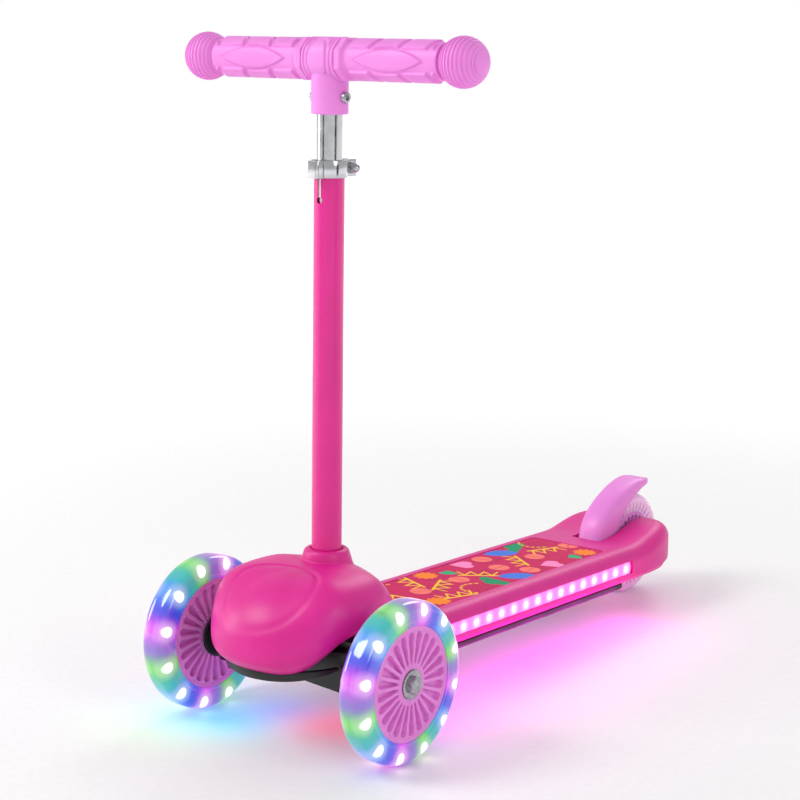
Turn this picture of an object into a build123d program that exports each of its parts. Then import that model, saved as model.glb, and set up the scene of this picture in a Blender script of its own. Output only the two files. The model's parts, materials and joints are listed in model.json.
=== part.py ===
# Child's three-wheel kick scooter that steers by leaning.
# Units are millimetres. +Z is up, the scooter's front faces -Y and the rider's left is +X.
# The floor is z = 0, and the origin is below the middle of the whole scooter.
import os
from math import atan, cos, radians, sin, sqrt

from build123d import *

os.makedirs("parts", exist_ok=True)

# ---- driving dimensions ----
front_radius = 60
rear_radius = 46
track = 190                    # between the two front wheels' middles
wheel_base = 457
nose_reach = 66                # from the front axle forward to the housing's nose
axle_y = (nose_reach - wheel_base - rear_radius) / 2
rear_y = axle_y + wheel_base
front_tyre_width = 22
rear_tyre_width = 20

roll_z = 66                    # the deck leans about a fore and aft pin at this height
kingpin_x = 68
steer_arm = 22                 # from a kingpin back to the tie rod
tie_rod_z = 42
pivot_pin_radius = 6
kingpin_radius = 4
axle_radius = 3.95
running_gap = 0.05             # radial clearance of a pin in its bore

deck_top_z = 72.5              # standing surface, 150 mm behind the front axle
deck_slope = 0.0415            # the deck falls gently towards the rear wheel
deck_half_width = 54
deck_side = 28                 # height of the shell's side
shell_wall = 2.5
slot_half_width = 15           # opening in the tail for the rear wheel and its fender

rim_z = 62                     # lower edge of the housing over the front truck
dome_y = axle_y + 2
dome_half_width = 63
dome_height = 63
dome_round = 38                # radius between the housing's top and its flank
dome_tilt = radians(8)         # the housing's top falls towards the nose
dome_wall = 3

stem_foot = (0, axle_y + 32.5, 129.4)      # the stem's axis where it leaves the housing's collar
stem_tilt = radians(1.3)                   # top leaning back
outer_tube_radius = 11.25
outer_tube_bore = 10.2
inner_tube_radius = 9.525
tube_top = 293                 # heights up the stem are measured from its foot
clamp_height = 12.4
handlebar_up = 365
grip_ball_x = 118
grip_ball_radius = 18.5
grip_radius = 14.9
block_half_width = 14

stem_axis = (0, sin(stem_tilt), cos(stem_tilt))
deck_angle = atan(deck_slope)
dome_half_length = ((nose_reach + 2 - dome_round - (dome_height - dome_round) * sin(dome_tilt))
                    / cos(dome_tilt) + dome_round)


def deck_point(distance):
    # (y, z) on the standing surface, at a distance behind the front axle
    return axle_y + distance, deck_top_z - deck_slope * (distance - 150)


def deck_plane(distance):
    # upright plane across the deck, square to its slope, with local Y up from the standing surface
    y, z = deck_point(distance)
    return Plane(origin=(0, y, z), x_dir=(-1, 0, 0), z_dir=(0, cos(deck_angle), -sin(deck_angle)))


def deck_face(distance, drop):
    # plane parallel to the standing surface and below it by drop, with local Y towards the tail
    y, z = deck_point(distance)
    normal = (0, sin(deck_angle), cos(deck_angle))
    origin = (0, y - drop * normal[1], z - drop * normal[2])
    return Plane(origin=origin, x_dir=(1, 0, 0), z_dir=normal)


def stem_plane(height):
    # plane square to the stem's axis, with local X across the scooter
    origin = (0, stem_foot[1] + stem_axis[1] * height, stem_foot[2] + stem_axis[2] * height)
    return Plane(origin=origin, x_dir=(1, 0, 0), z_dir=stem_axis)


def across(x, y, z):
    # plane that faces +X, with local X along +Y and local Y up
    return Plane(origin=(x, y, z), x_dir=(0, 1, 0), z_dir=(1, 0, 0))


def facing_back(x, y, z):
    # plane that faces +Y, with local X along -X and local Y up
    return Plane(origin=(x, y, z), x_dir=(-1, 0, 0), z_dir=(0, 1, 0))


def level(x, y, z):
    return Plane(origin=(x, y, z), x_dir=(1, 0, 0), z_dir=(0, 0, 1))


def ring(plane, outer, inner, length):
    # a plain tube, bush or washer standing on a plane
    with BuildPart() as tube:
        with BuildSketch(plane):
            Circle(outer)
            Circle(inner, mode=Mode.SUBTRACT)
        extrude(amount=length)
    return tube


def save(piece, label):
    piece.part.label = label
    export_step(piece.part, f"parts/{label}.step")


sides = {"left": 1, "right": -1}

# ---- deck shell: housing over the front truck, standing deck and tail lobes in one moulding ----
arch_radius = 31               # opening in the housing's side for the truck's arm
shoulder_radius = 13
collar_bottom = 100
collar_top = 129
tail_end = 490
tail_slot_start = 392
cavity_end = 388
pocket_x = 19                  # inner face of the pockets that hide the rear axle's head and nut
pocket_width = 17
pocket_length = 70
pocket_rear = 468
pocket_top = 58
grip_front = 72
grip_rear = 366
grip_half_width = 38
grip_recess = 1.6
light_front = 104
light_rear = 386
light_drop = (9.5, 20.5)       # top and bottom edges of the side light bar, below the deck's top
screw_radius = 1.6
post_spots = [(x, y) for x in (-42, 42) for y in (95, 235, 372)]


def deck_outline(inset):
    # half section: flat top, round shoulder, upright side and turned-in bottom edge
    edge = deck_half_width - inset
    flat = edge - shoulder_radius
    with BuildSketch() as section:
        with BuildLine():
            Line((0, -inset), (flat, -inset))
            RadiusArc((flat, -inset), (edge, -inset - shoulder_radius), shoulder_radius)
            Polyline((edge, -inset - shoulder_radius), (edge, -22), (edge - 4, -deck_side),
                     (0, -deck_side), (0, -inset))
        make_face()
        mirror(about=Plane.YZ)
    return section.sketch


def tail_plan():
    # plan of the deck: straight sides that close in round the tail
    with BuildSketch() as plan:
        with BuildLine():
            Polyline((-deck_half_width - 1, 0), (-deck_half_width - 1, 400), (-deck_half_width, 408))
            Spline((-deck_half_width, 408), (-47, 455), (-30, 483), (0, tail_end + 2),
                   (30, 483), (47, 455), (deck_half_width, 408), tangents=[(0, 1), (0, -1)])
            Polyline((deck_half_width, 408), (deck_half_width + 1, 400), (deck_half_width + 1, 0),
                     (-deck_half_width - 1, 0))
        make_face()
    return plan.sketch


def lobe_profile(inset):
    # side view of the tail lobes: they rise out of the deck round the rear axle
    with BuildSketch() as profile:
        with BuildLine():
            Spline((axle_y + 372, 62 - inset), (axle_y + 425, 65 - inset), (axle_y + 462, 70 - inset),
                   (axle_y + 484 - inset, 57), (axle_y + 489 - inset, 40))
            Polyline((axle_y + 489 - inset, 40), (axle_y + 486 - inset, 30), (axle_y + 440, 33),
                     (axle_y + 372, 36), (axle_y + 372, 62 - inset))
        make_face()
    return profile.sketch


def dome_loaf(inset):
    # oval block with a broad rounding round its top, leaning forward by the housing's tilt
    base = Plane(origin=(0, dome_y, 50), x_dir=(1, 0, 0), z_dir=(0, -sin(dome_tilt), cos(dome_tilt)))
    with BuildPart() as loaf:
        with BuildSketch(base):
            Ellipse(dome_half_width - inset, dome_half_length - inset)
        extrude(amount=dome_height - inset)
        fillet(loaf.faces().sort_by(Axis.Z)[-1].edges(), dome_round - inset)
    return loaf.part


with BuildPart() as deck_body:
    with BuildSketch(deck_plane(40)):
        add(deck_outline(0))
    extrude(amount=tail_end - 40)
    with BuildSketch(across(-deck_half_width, 0, 0)):
        add(lobe_profile(0))
    extrude(amount=2 * deck_half_width)
    with BuildSketch(level(0, axle_y, 0)):
        add(tail_plan())
    extrude(amount=200, mode=Mode.INTERSECT)

with BuildPart() as deck_shell:
    add(deck_body.part)
    add(dome_loaf(0))
    with BuildSketch(stem_plane(collar_bottom - stem_foot[2])):
        Circle(20)
    extrude(amount=collar_top - collar_bottom, taper=5)
    # everything below the housing's rim, in front of the deck, is open
    with BuildSketch(level(0, dome_y, rim_z - 70)):
        Rectangle(200, 200)
    extrude(amount=70, mode=Mode.SUBTRACT)
    add(deck_body.part)
    # inside of the housing and of the deck
    add(dome_loaf(dome_wall), mode=Mode.SUBTRACT)
    with BuildSketch(deck_plane(36)):
        add(deck_outline(shell_wall))
    extrude(amount=cavity_end - 36, mode=Mode.SUBTRACT)
    with BuildSketch(deck_plane(36)):
        with Locations((0, -deck_side)):
            Rectangle(2 * (deck_half_width - shell_wall - 4), 4)
    extrude(amount=cavity_end - 36, mode=Mode.SUBTRACT)
    # arches for the truck's arms
    with Locations(Location((0, axle_y + 2, rim_z - 3), (0, 90, 0))):
        Cylinder(arch_radius, 200, mode=Mode.SUBTRACT)
    # tail slot, pockets inside the lobes and the axle's holes
    with BuildSketch(level(0, axle_y + (tail_slot_start + tail_end + 10) / 2, 0)):
        Rectangle(2 * slot_half_width, tail_end + 10 - tail_slot_start)
    extrude(amount=120, mode=Mode.SUBTRACT)
    with BuildSketch(level(0, axle_y, pocket_top - 38)):
        for side in sides.values():
            with Locations((side * (pocket_x + pocket_width / 2), pocket_rear - pocket_length / 2)):
                RectangleRounded(pocket_width, pocket_length, 4)
    extrude(amount=38, mode=Mode.SUBTRACT)
    with Locations(Location((0, rear_y, rear_radius), (0, 90, 0))):
        Cylinder(axle_radius, 2 * 24, mode=Mode.SUBTRACT)
    # the stem's passage through the collar, and the recess for the grip panel
    with BuildSketch(stem_plane(-50)):
        Circle(outer_tube_radius)
    extrude(amount=60, mode=Mode.SUBTRACT)
    with BuildSketch(deck_face(grip_front, grip_recess)):
        with Locations((0, (grip_rear - grip_front) / 2)):
            RectangleRounded(2 * grip_half_width, grip_rear - grip_front, 6)
    extrude(amount=30, mode=Mode.SUBTRACT)
    # windows for the side light bars
    for side in sides.values():
        with BuildSketch(deck_plane(light_front)):
            with Locations((side * (deck_half_width - 2), -sum(light_drop) / 2)):
                Rectangle(6, light_drop[1] - light_drop[0])
        extrude(amount=light_rear - light_front, mode=Mode.SUBTRACT)
    # posts that take the tray's screws
    with BuildSketch(deck_face(0, deck_side)):
        with Locations(*post_spots):
            Circle(4.5)
    extrude(amount=deck_side - 2)
    with BuildSketch(deck_face(0, deck_side)):
        with Locations(*post_spots):
            Circle(screw_radius)
    extrude(amount=deck_side - 6, mode=Mode.SUBTRACT)
save(deck_shell, "deck_shell")

with BuildPart() as grip_panel:
    with BuildSketch(deck_face(grip_front, grip_recess)):
        with Locations((0, (grip_rear - grip_front) / 2)):
            RectangleRounded(2 * grip_half_width - 0.6, grip_rear - grip_front - 0.6, 5.7)
    extrude(amount=1.2)
save(grip_panel, "grip_panel")

# ---- under tray, nose guard and the light and power parts inside the deck ----
tray_front = 56
tray_rear = 384
tray_depth = 7
tray_half_width = 49
floor_drop = deck_side + tray_depth

with BuildPart() as under_tray:
    with BuildSketch(deck_face(tray_front, floor_drop)):
        with Locations((0, (tray_rear - tray_front) / 2)):
            RectangleRounded(2 * tray_half_width, tray_rear - tray_front, 8)
    extrude(amount=tray_depth)
    chamfer(under_tray.faces().sort_by(Axis.Z)[0].edges(), 2)
    with BuildSketch(deck_face(tray_front, floor_drop - 2.5)):
        with Locations((0, (tray_rear - tray_front) / 2)):
            RectangleRounded(2 * tray_half_width - 8, tray_rear - tray_front - 8, 5)
    extrude(amount=tray_depth, mode=Mode.SUBTRACT)
    with BuildSketch(deck_face(0, floor_drop)):
        with Locations(*post_spots):
            Circle(5)
    extrude(amount=tray_depth - 0.1)
    with BuildSketch(deck_face(0, floor_drop)):
        with Locations(*post_spots):
            Circle(2)
    extrude(amount=tray_depth, mode=Mode.SUBTRACT)
    with BuildSketch(deck_face(0, floor_drop)):
        with Locations(*post_spots):
            Circle(3.8)
    extrude(amount=2.5, mode=Mode.SUBTRACT)
save(under_tray, "under_tray")

with BuildPart() as tray_screws:
    with BuildSketch(deck_face(0, floor_drop)):
        with Locations(*post_spots):
            Circle(3.6)
    extrude(amount=2.4)
    with BuildSketch(deck_face(0, floor_drop - 2.4)):
        with Locations(*post_spots):
            Circle(screw_radius)
    extrude(amount=16)
save(tray_screws, "tray_screws")

guard_depth = 13               # below the housing's rim
with BuildPart() as nose_guard:
    with BuildSketch(level(0, dome_y, rim_z - guard_depth)):
        Ellipse(dome_half_width - 7, dome_half_length - 7)
    extrude(amount=guard_depth)
    chamfer(nose_guard.faces().sort_by(Axis.Z)[0].edges(), 3)
    with BuildSketch(level(0, dome_y, rim_z - guard_depth + 3)):
        Ellipse(dome_half_width - 11, dome_half_length - 11)
    extrude(amount=guard_depth, mode=Mode.SUBTRACT)
    with BuildSketch(level(0, axle_y - 35 + 100, 0)):
        Rectangle(200, 200)
    extrude(amount=200, mode=Mode.SUBTRACT)
save(nose_guard, "nose_guard")

board_thickness = 1.2
light_length = light_rear - light_front
led_count = 16
for side_name, side in sides.items():
    bar_height = light_drop[1] - light_drop[0] - 0.2
    with BuildPart() as light_bar:
        with BuildSketch(deck_plane(light_front + 0.2)):
            with Locations((-side * (deck_half_width - 1.6), -sum(light_drop) / 2)):
                Rectangle(3.6, bar_height)
        extrude(amount=light_length - 0.4)
        outer_edges = light_bar.edges().filter_by(lambda edge: abs(edge.center().X) > deck_half_width)
        chamfer(outer_edges, 0.15)
    save(light_bar, f"light_bar_{side_name}")
    with BuildPart() as led_strip:
        with BuildSketch(deck_plane(light_front + 4)):
            with Locations((-side * (deck_half_width - 5.4), -sum(light_drop) / 2)):
                Rectangle(board_thickness, 8)
        extrude(amount=light_length - 8)
        pitch = (light_length - 24) / (led_count - 1)
        for number in range(led_count):
            with BuildSketch(deck_plane(light_front + 9.5 + number * pitch)):
                with Locations((-side * (deck_half_width - 4.4), -sum(light_drop) / 2)):
                    Rectangle(1.2, 5)
            extrude(amount=5)
    save(led_strip, f"led_strip_{side_name}")

with BuildPart() as battery_pack:
    with BuildSketch(deck_face(200, floor_drop - 2.6)):
        RectangleRounded(56, 74, 3)
    extrude(amount=18)
save(battery_pack, "battery_pack")

with BuildPart() as control_board:
    with BuildSketch(deck_face(130, floor_drop - 2.6)):
        with GridLocations(32, 22, 2, 2):
            Circle(2)
    extrude(amount=4)
    with BuildSketch(deck_face(130, floor_drop - 6.6)):
        Rectangle(42, 32)
    extrude(amount=board_thickness)
    with BuildSketch(deck_face(130, floor_drop - 6.6 - board_thickness)):
        with Locations((-10, 4)):
            Rectangle(12, 10)
        with Locations((11, -5)):
            Circle(3.2)
    extrude(amount=5)
save(control_board, "control_board")

# ---- front frame: joins the deck, the stem and the roll pivot ----
barrel_half_length = 21.5
barrel_radius = 13
lug_gap = 0.5
front_lug_end = -31
rear_lug_end = 41
bridge_bottom = 85
bridge_top = 92
socket_bottom = 80.2
socket_depth = stem_foot[2] - socket_bottom
stem_bolt_z = 98.5
peg_y = axle_y + steer_arm + 6
peg_radius = 3

with BuildPart() as front_frame:
    with BuildSketch(level(0, axle_y + 5.5, bridge_bottom)):
        RectangleRounded(56, 72, 14)
    extrude(amount=bridge_top - bridge_bottom)
    for start, end in ((front_lug_end, -barrel_half_length - lug_gap),
                       (barrel_half_length + lug_gap, rear_lug_end)):
        with BuildSketch(facing_back(0, axle_y + start, roll_z)):
            Circle(barrel_radius)
            with Locations((0, 11)):
                Rectangle(2 * barrel_radius, 22)
        extrude(amount=end - start)
    with BuildSketch(stem_plane(-socket_depth)):
        Circle(15)
    extrude(amount=24.5)
    with BuildSketch(stem_plane(2 - socket_depth)):
        Circle(outer_tube_radius)
    extrude(amount=60, mode=Mode.SUBTRACT)
    with Locations(Location((0, axle_y, roll_z), (90, 0, 0))):
        Cylinder(pivot_pin_radius, 200, mode=Mode.SUBTRACT)
    # arm and ball-ended peg that push the tie rod sideways as the deck leans
    with BuildSketch(level(0, axle_y + 34.5, tie_rod_z + 5)):
        Rectangle(11, 13)
    extrude(amount=10)
    with BuildSketch(level(0, peg_y, tie_rod_z)):
        Circle(2)
    extrude(amount=6)
    with Locations((0, peg_y, tie_rod_z)):
        Sphere(peg_radius)
    with Locations(Location((0, stem_foot[1] - 0.7, stem_bolt_z), (0, 90, 0))):
        Cylinder(3, 60, mode=Mode.SUBTRACT)
save(front_frame, "front_frame")

with BuildPart() as pivot_pin:
    with BuildSketch(facing_back(0, axle_y + front_lug_end, roll_z)):
        Circle(pivot_pin_radius)
    extrude(amount=rear_lug_end - front_lug_end)
    with BuildSketch(facing_back(0, axle_y + front_lug_end - 3, roll_z)):
        Circle(9)
    extrude(amount=3)
save(pivot_pin, "pivot_pin")

# ---- truck: beam, kingpins, knuckles, tie rod and lean buffers ----
fork_bottom = 44
fork_top = 76
lug_inner = (49.6, 70.4)       # heights of the fork's inner faces
knuckle_height = (50, 70)
with BuildPart() as truck_beam:
    with BuildSketch(facing_back(0, axle_y - 12, 0)):
        with BuildLine():
            Polyline((0, 53), (12, 47), (57, fork_bottom), (57, fork_top), (38, 74), (12, 74), (0, 79), (0, 53))
        make_face()
        mirror(about=Plane.YZ)
    extrude(amount=24)
    with BuildSketch(facing_back(0, axle_y - barrel_half_length, roll_z)):
        Circle(barrel_radius)
    extrude(amount=2 * barrel_half_length)
    with BuildSketch(level(0, axle_y, fork_bottom)):
        for side in sides.values():
            with Locations((side * (kingpin_x - 7), 0)):
                Rectangle(14, 18)
            with Locations((side * kingpin_x, 0)):
                Circle(9)
    extrude(amount=fork_top - fork_bottom)
    with BuildSketch(level(0, axle_y, lug_inner[0])):
        for side in sides.values():
            with Locations((side * (kingpin_x + 2), 0)):
                Rectangle(24, 30)
    extrude(amount=lug_inner[1] - lug_inner[0], mode=Mode.SUBTRACT)
    with BuildSketch(level(0, axle_y, 0)):
        with Locations((-kingpin_x, 0), (kingpin_x, 0)):
            Circle(kingpin_radius)
    extrude(amount=100, mode=Mode.SUBTRACT)
    with Locations(Location((0, axle_y, roll_z), (90, 0, 0))):
        Cylinder(pivot_pin_radius + running_gap, 100, mode=Mode.SUBTRACT)
save(truck_beam, "truck_beam")

with BuildPart() as kingpins:
    with BuildSketch(level(0, axle_y, fork_bottom)):
        with Locations((-kingpin_x, 0), (kingpin_x, 0)):
            Circle(kingpin_radius)
    extrude(amount=fork_top - fork_bottom)
    with BuildSketch(level(0, axle_y, fork_top)):
        with Locations((-kingpin_x, 0), (kingpin_x, 0)):
            Circle(6)
    extrude(amount=2.5)
save(kingpins, "kingpins")

for side_name, side in sides.items():
    lean_buffer = ring(level(side * 24, axle_y, 74), 6, 2.5, bridge_bottom - 74)
    save(lean_buffer, f"lean_buffer_{side_name}")

rod_thickness = 5
pin_radius = 2.9
eye_gap = 0.1
with BuildPart() as tie_rod:
    with BuildSketch(level(0, axle_y + steer_arm, tie_rod_z - rod_thickness / 2)):
        Rectangle(2 * kingpin_x, 8)
        with Locations((-kingpin_x, 0), (kingpin_x, 0)):
            Circle(6.5)
        with Locations((0, 6)):
            RectangleRounded(20, 14, 2)
        # the eyes are long enough fore and aft for the arms' swing
        for side in sides.values():
            with Locations((side * kingpin_x, 0)):
                Rectangle(2 * (pin_radius + eye_gap), 1.8, mode=Mode.SUBTRACT)
            for end in (-0.9, 0.9):
                with Locations((side * kingpin_x, end)):
                    Circle(pin_radius + eye_gap, mode=Mode.SUBTRACT)
        with Locations((0, 6)):
            Rectangle(2 * (peg_radius + 0.06), 9, mode=Mode.SUBTRACT)
    extrude(amount=rod_thickness)
save(tie_rod, "tie_rod")

wheel_x = track / 2
hub_half_width = 10
wheel_gap = 0.3
flange_x = kingpin_x + 11
boss_end = wheel_x - hub_half_width - wheel_gap
for side_name, side in sides.items():
    with BuildPart() as knuckle:
        with BuildSketch(level(side * kingpin_x, axle_y, knuckle_height[0])):
            Circle(8)
        extrude(amount=knuckle_height[1] - knuckle_height[0])
        with BuildSketch(across(side * kingpin_x, axle_y, front_radius)):
            Circle(8)
        extrude(amount=side * (flange_x - kingpin_x + 1))
        with BuildSketch(across(side * flange_x, axle_y, front_radius)):
            Circle(17)
        extrude(amount=side * 2)
        with BuildSketch(across(side * (flange_x + 2), axle_y, front_radius)):
            Circle(17)
        with BuildSketch(across(side * boss_end, axle_y, front_radius)):
            Circle(9)
        loft()
        with BuildSketch(level(side * kingpin_x, axle_y + steer_arm / 2, knuckle_height[0] + 0.4)):
            Rectangle(9, steer_arm)
            with Locations((0, steer_arm / 2)):
                Circle(4.5)
        extrude(amount=5.5)
        with BuildSketch(level(side * kingpin_x, axle_y + steer_arm, tie_rod_z - 4)):
            Circle(pin_radius)
        extrude(amount=knuckle_height[0] + 1 - tie_rod_z + 4)
        with BuildSketch(level(side * kingpin_x, axle_y, 0)):
            Circle(kingpin_radius + running_gap)
        extrude(amount=100, mode=Mode.SUBTRACT)
        with BuildSketch(across(side * (kingpin_x + 5.5), axle_y, front_radius)):
            Circle(axle_radius)
        extrude(amount=side * 20, mode=Mode.SUBTRACT)
    save(knuckle, f"knuckle_{side_name}")

# ---- wheels ----
front_hub_radius = 42.8
rear_hub_radius = 30
bearing_radius = 11
bearing_width = 7
bearing_bore = 4
spoke_slots = 24
led_ring_count = 12


def wheel_tyre(centre, radius, hub_radius, width, crown):
    # cast ring with a rounded tread
    with BuildPart() as tyre:
        with BuildSketch(across(centre[0] - width / 2, centre[1], centre[2])):
            Circle(radius)
            Circle(hub_radius, mode=Mode.SUBTRACT)
        extrude(amount=width)
        tread_edges = tyre.edges().filter_by(GeomType.CIRCLE).group_by(lambda edge: edge.radius)[-1]
        fillet(tread_edges, crown)
    return tyre


def spoked_hub(centre, radius, groove_depth, slot_inner, slot_outer, slot_width):
    # disc with slots sunk in both faces, bearing seats, and a groove round the rim
    x, y, z = centre
    depth = hub_half_width - 2
    with BuildPart() as hub:
        with BuildSketch(across(x - hub_half_width, y, z)):
            Circle(radius)
            Circle(8.5, mode=Mode.SUBTRACT)
        extrude(amount=2 * hub_half_width)
        for face_x, direction in ((x + hub_half_width, -1), (x - hub_half_width, 1)):
            with BuildSketch(across(face_x, y, z)):
                with PolarLocations(0, spoke_slots):
                    Polygon((slot_inner, -0.9), (slot_outer, -slot_width), (slot_outer + 1.6, -1.2),
                            (slot_outer + 1.6, 1.2), (slot_outer, slot_width), (slot_inner, 0.9), align=None)
            extrude(amount=direction * depth, mode=Mode.SUBTRACT)
            with BuildSketch(across(face_x, y, z)):
                Circle(bearing_radius)
            extrude(amount=direction * bearing_width, mode=Mode.SUBTRACT)
        if groove_depth:
            with BuildSketch(across(x - 4, y, z)):
                Circle(radius)
                Circle(radius - groove_depth, mode=Mode.SUBTRACT)
            extrude(amount=8, mode=Mode.SUBTRACT)
    return hub


def bearing_pair(centre):
    # two ball bearings, one in each face of a hub
    x, y, z = centre
    with BuildPart() as bearings:
        for start in (x - hub_half_width, x + hub_half_width - bearing_width):
            with BuildSketch(across(start, y, z)):
                Circle(bearing_radius)
                Circle(bearing_bore, mode=Mode.SUBTRACT)
            extrude(amount=bearing_width)
            for face_x, direction in ((start, 1), (start + bearing_width, -1)):
                with BuildSketch(across(face_x, y, z)):
                    Circle(9)
                    Circle(6, mode=Mode.SUBTRACT)
                extrude(amount=direction * 0.8, mode=Mode.SUBTRACT)
    return bearings


groove_depth = 3.3
for side_name, side in sides.items():
    centre = (side * wheel_x, axle_y, front_radius)
    save(wheel_tyre(centre, front_radius, front_hub_radius, front_tyre_width, 8.5),
         f"front_tyre_{side_name}")
    save(spoked_hub(centre, front_hub_radius, groove_depth, 17.5, 35.5, 2.9), f"front_hub_{side_name}")
    save(bearing_pair(centre), f"front_bearings_{side_name}")
    with BuildPart() as led_ring:
        with BuildSketch(across(centre[0] - 3.5, axle_y, front_radius)):
            Circle(front_hub_radius - groove_depth + 1.2)
            Circle(front_hub_radius - groove_depth, mode=Mode.SUBTRACT)
        extrude(amount=7)
        with BuildSketch(across(centre[0] - 2, axle_y, front_radius)):
            with PolarLocations(front_hub_radius - 1.6, led_ring_count):
                Rectangle(2.4, 4)
        extrude(amount=4)
    save(led_ring, f"front_led_ring_{side_name}")
    # the magnet that drives the lights stands still on the axle between the bearings
    magnet = ring(across(centre[0] - 2.6, axle_y, front_radius), 7.8, axle_radius, 5.2)
    save(magnet, f"magnet_core_{side_name}")
    hub_face = side * (wheel_x + hub_half_width + wheel_gap)
    washer = ring(across(hub_face, axle_y, front_radius), 8, axle_radius, side * 1.2)
    save(washer, f"axle_washer_{side_name}")
    head_x = hub_face + side * 1.2
    with BuildPart() as axle_bolt:
        with BuildSketch(across(head_x, axle_y, front_radius)):
            RegularPolygon(6.5, 6)
        extrude(amount=side * 4.3)
        with BuildSketch(across(head_x, axle_y, front_radius)):
            Circle(axle_radius)
        extrude(amount=-side * (abs(head_x) - kingpin_x - 5.6))
    save(axle_bolt, f"axle_bolt_{side_name}")

rear_centre = (0, rear_y, rear_radius)
save(wheel_tyre(rear_centre, rear_radius, rear_hub_radius, rear_tyre_width, 7.5), "rear_tyre")
save(spoked_hub(rear_centre, rear_hub_radius, 0, 14, 24.5, 1.9), "rear_hub")
save(bearing_pair(rear_centre), "rear_bearings")

with BuildPart() as rear_spacers:
    for start in (-slot_half_width, hub_half_width + wheel_gap):
        with BuildSketch(across(start, rear_y, rear_radius)):
            Circle(6.5)
            Circle(axle_radius, mode=Mode.SUBTRACT)
        extrude(amount=slot_half_width - hub_half_width - wheel_gap)
save(rear_spacers, "rear_spacers")

with BuildPart() as rear_axle_bolt:
    with BuildSketch(across(-pocket_x, rear_y, rear_radius)):
        Circle(axle_radius)
    extrude(amount=2 * pocket_x + 7)
    with BuildSketch(across(-pocket_x, rear_y, rear_radius)):
        RegularPolygon(7, 6)
    extrude(amount=-5)
save(rear_axle_bolt, "rear_axle_bolt")

with BuildPart() as rear_axle_nut:
    with BuildSketch(across(pocket_x, rear_y, rear_radius)):
        RegularPolygon(7, 6)
        Circle(axle_radius, mode=Mode.SUBTRACT)
    extrude(amount=6.5)
save(rear_axle_nut, "rear_axle_nut")

# ---- fender brake: a hood over the rear wheel, hinged in the deck and sprung up ----
fender_half_width = 13.6
fender_gap = 6.8               # between the hood and the tyre when it isn't pressed
hinge = (axle_y + 399, 51)     # (y, z) of the hinge pin
hinge_pin_radius = 2.5
with BuildPart() as fender:
    with BuildSketch(across(-fender_half_width, axle_y, 0)):
        with BuildLine():
            Spline((396, 60), (404, 76), (425, 93), (462, 103.5), (484, 102))
            Spline((484, 102), (487.5, 99.5), (484, 97))
            Spline((484, 97), (462, 92), (444, 79), (430, 58))
            Line((430, 58), (396, 60))
        make_face()
    extrude(amount=2 * fender_half_width)
    with BuildSketch(across(-fender_half_width + 2.4, rear_y, rear_radius)):
        Circle(rear_radius + fender_gap)
    extrude(amount=2 * (fender_half_width - 2.4), mode=Mode.SUBTRACT)
    with BuildSketch(across(-8, hinge[0], hinge[1])):
        Circle(5)
        with Locations((-0.5, 5.5)):
            Rectangle(9, 11)
    extrude(amount=16)
    with Locations(Location((0, hinge[0], hinge[1]), (0, 90, 0))):
        Cylinder(hinge_pin_radius + running_gap, 60, mode=Mode.SUBTRACT)
save(fender, "fender")

with BuildPart() as fender_hinge:
    for side in sides.values():
        with BuildSketch(across(side * 8.4, hinge[0], hinge[1])):
            Circle(5)
            Circle(hinge_pin_radius, mode=Mode.SUBTRACT)
        extrude(amount=side * 6.6)
save(fender_hinge, "fender_hinge_lugs")

with BuildPart() as fender_pin:
    with BuildSketch(across(-slot_half_width, hinge[0], hinge[1])):
        Circle(hinge_pin_radius)
    extrude(amount=2 * slot_half_width)
save(fender_pin, "fender_pin")

# ---- stem: painted outer tube, pinch clamp and the chromed inner tube that slides in it ----
clamp_bottom = tube_top - clamp_height + 0.4
slot_width = 3
with BuildPart() as outer_tube:
    with BuildSketch(stem_plane(2 - socket_depth)):
        Circle(outer_tube_radius)
        Circle(outer_tube_bore, mode=Mode.SUBTRACT)
    extrude(amount=tube_top - 2 + socket_depth)
    # keyhole slot that lets the clamp squeeze the tube's mouth
    front_slot = stem_plane(tube_top)
    with Locations(front_slot.location * Location((0, -outer_tube_radius, -14))):
        Box(slot_width, 8, 28, mode=Mode.SUBTRACT)
    with Locations(front_slot.location * Location((0, -outer_tube_radius, -28), (90, 0, 0))):
        Cylinder(2.5, 8, mode=Mode.SUBTRACT)
    with Locations(Location((0, stem_foot[1] - 0.7, stem_bolt_z), (0, 90, 0))):
        Cylinder(3, 60, mode=Mode.SUBTRACT)
save(outer_tube, "outer_tube")

save(ring(stem_plane(tube_top - 26), outer_tube_bore, inner_tube_radius + running_gap, 26), "tube_sleeve")

with BuildPart() as stem_bolt:
    with Locations(Location((0, stem_foot[1] - 0.7, stem_bolt_z), (0, 90, 0))):
        Cylinder(3, 40)
    with BuildSketch(across(15, stem_foot[1] - 0.7, stem_bolt_z)):
        RegularPolygon(5.5, 6)
    extrude(amount=4)
    with BuildSketch(across(-15, stem_foot[1] - 0.7, stem_bolt_z)):
        RegularPolygon(5.5, 6)
    extrude(amount=-5)
save(stem_bolt, "stem_bolt")

band_radius = 13.4
ear_y = 18.5
with BuildPart() as clamp_band:
    with BuildSketch(stem_plane(clamp_bottom)):
        Circle(band_radius)
        with Locations((0, 17)):
            Rectangle(10, 15)
        with Locations((0, -15)):
            RectangleRounded(11, 10, 2.4)
        Circle(outer_tube_radius, mode=Mode.SUBTRACT)
        with Locations((0, 19)):
            Rectangle(4.6, 18, mode=Mode.SUBTRACT)
        with Locations((0, -13.6)):
            RectangleRounded(6.6, 9, 1, mode=Mode.SUBTRACT)
    extrude(amount=clamp_height)
    with Locations(stem_plane(clamp_bottom + clamp_height / 2).location * Location((0, ear_y, 0), (0, 90, 0))):
        Cylinder(2.5, 40, mode=Mode.SUBTRACT)
save(clamp_band, "clamp_band")

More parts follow.
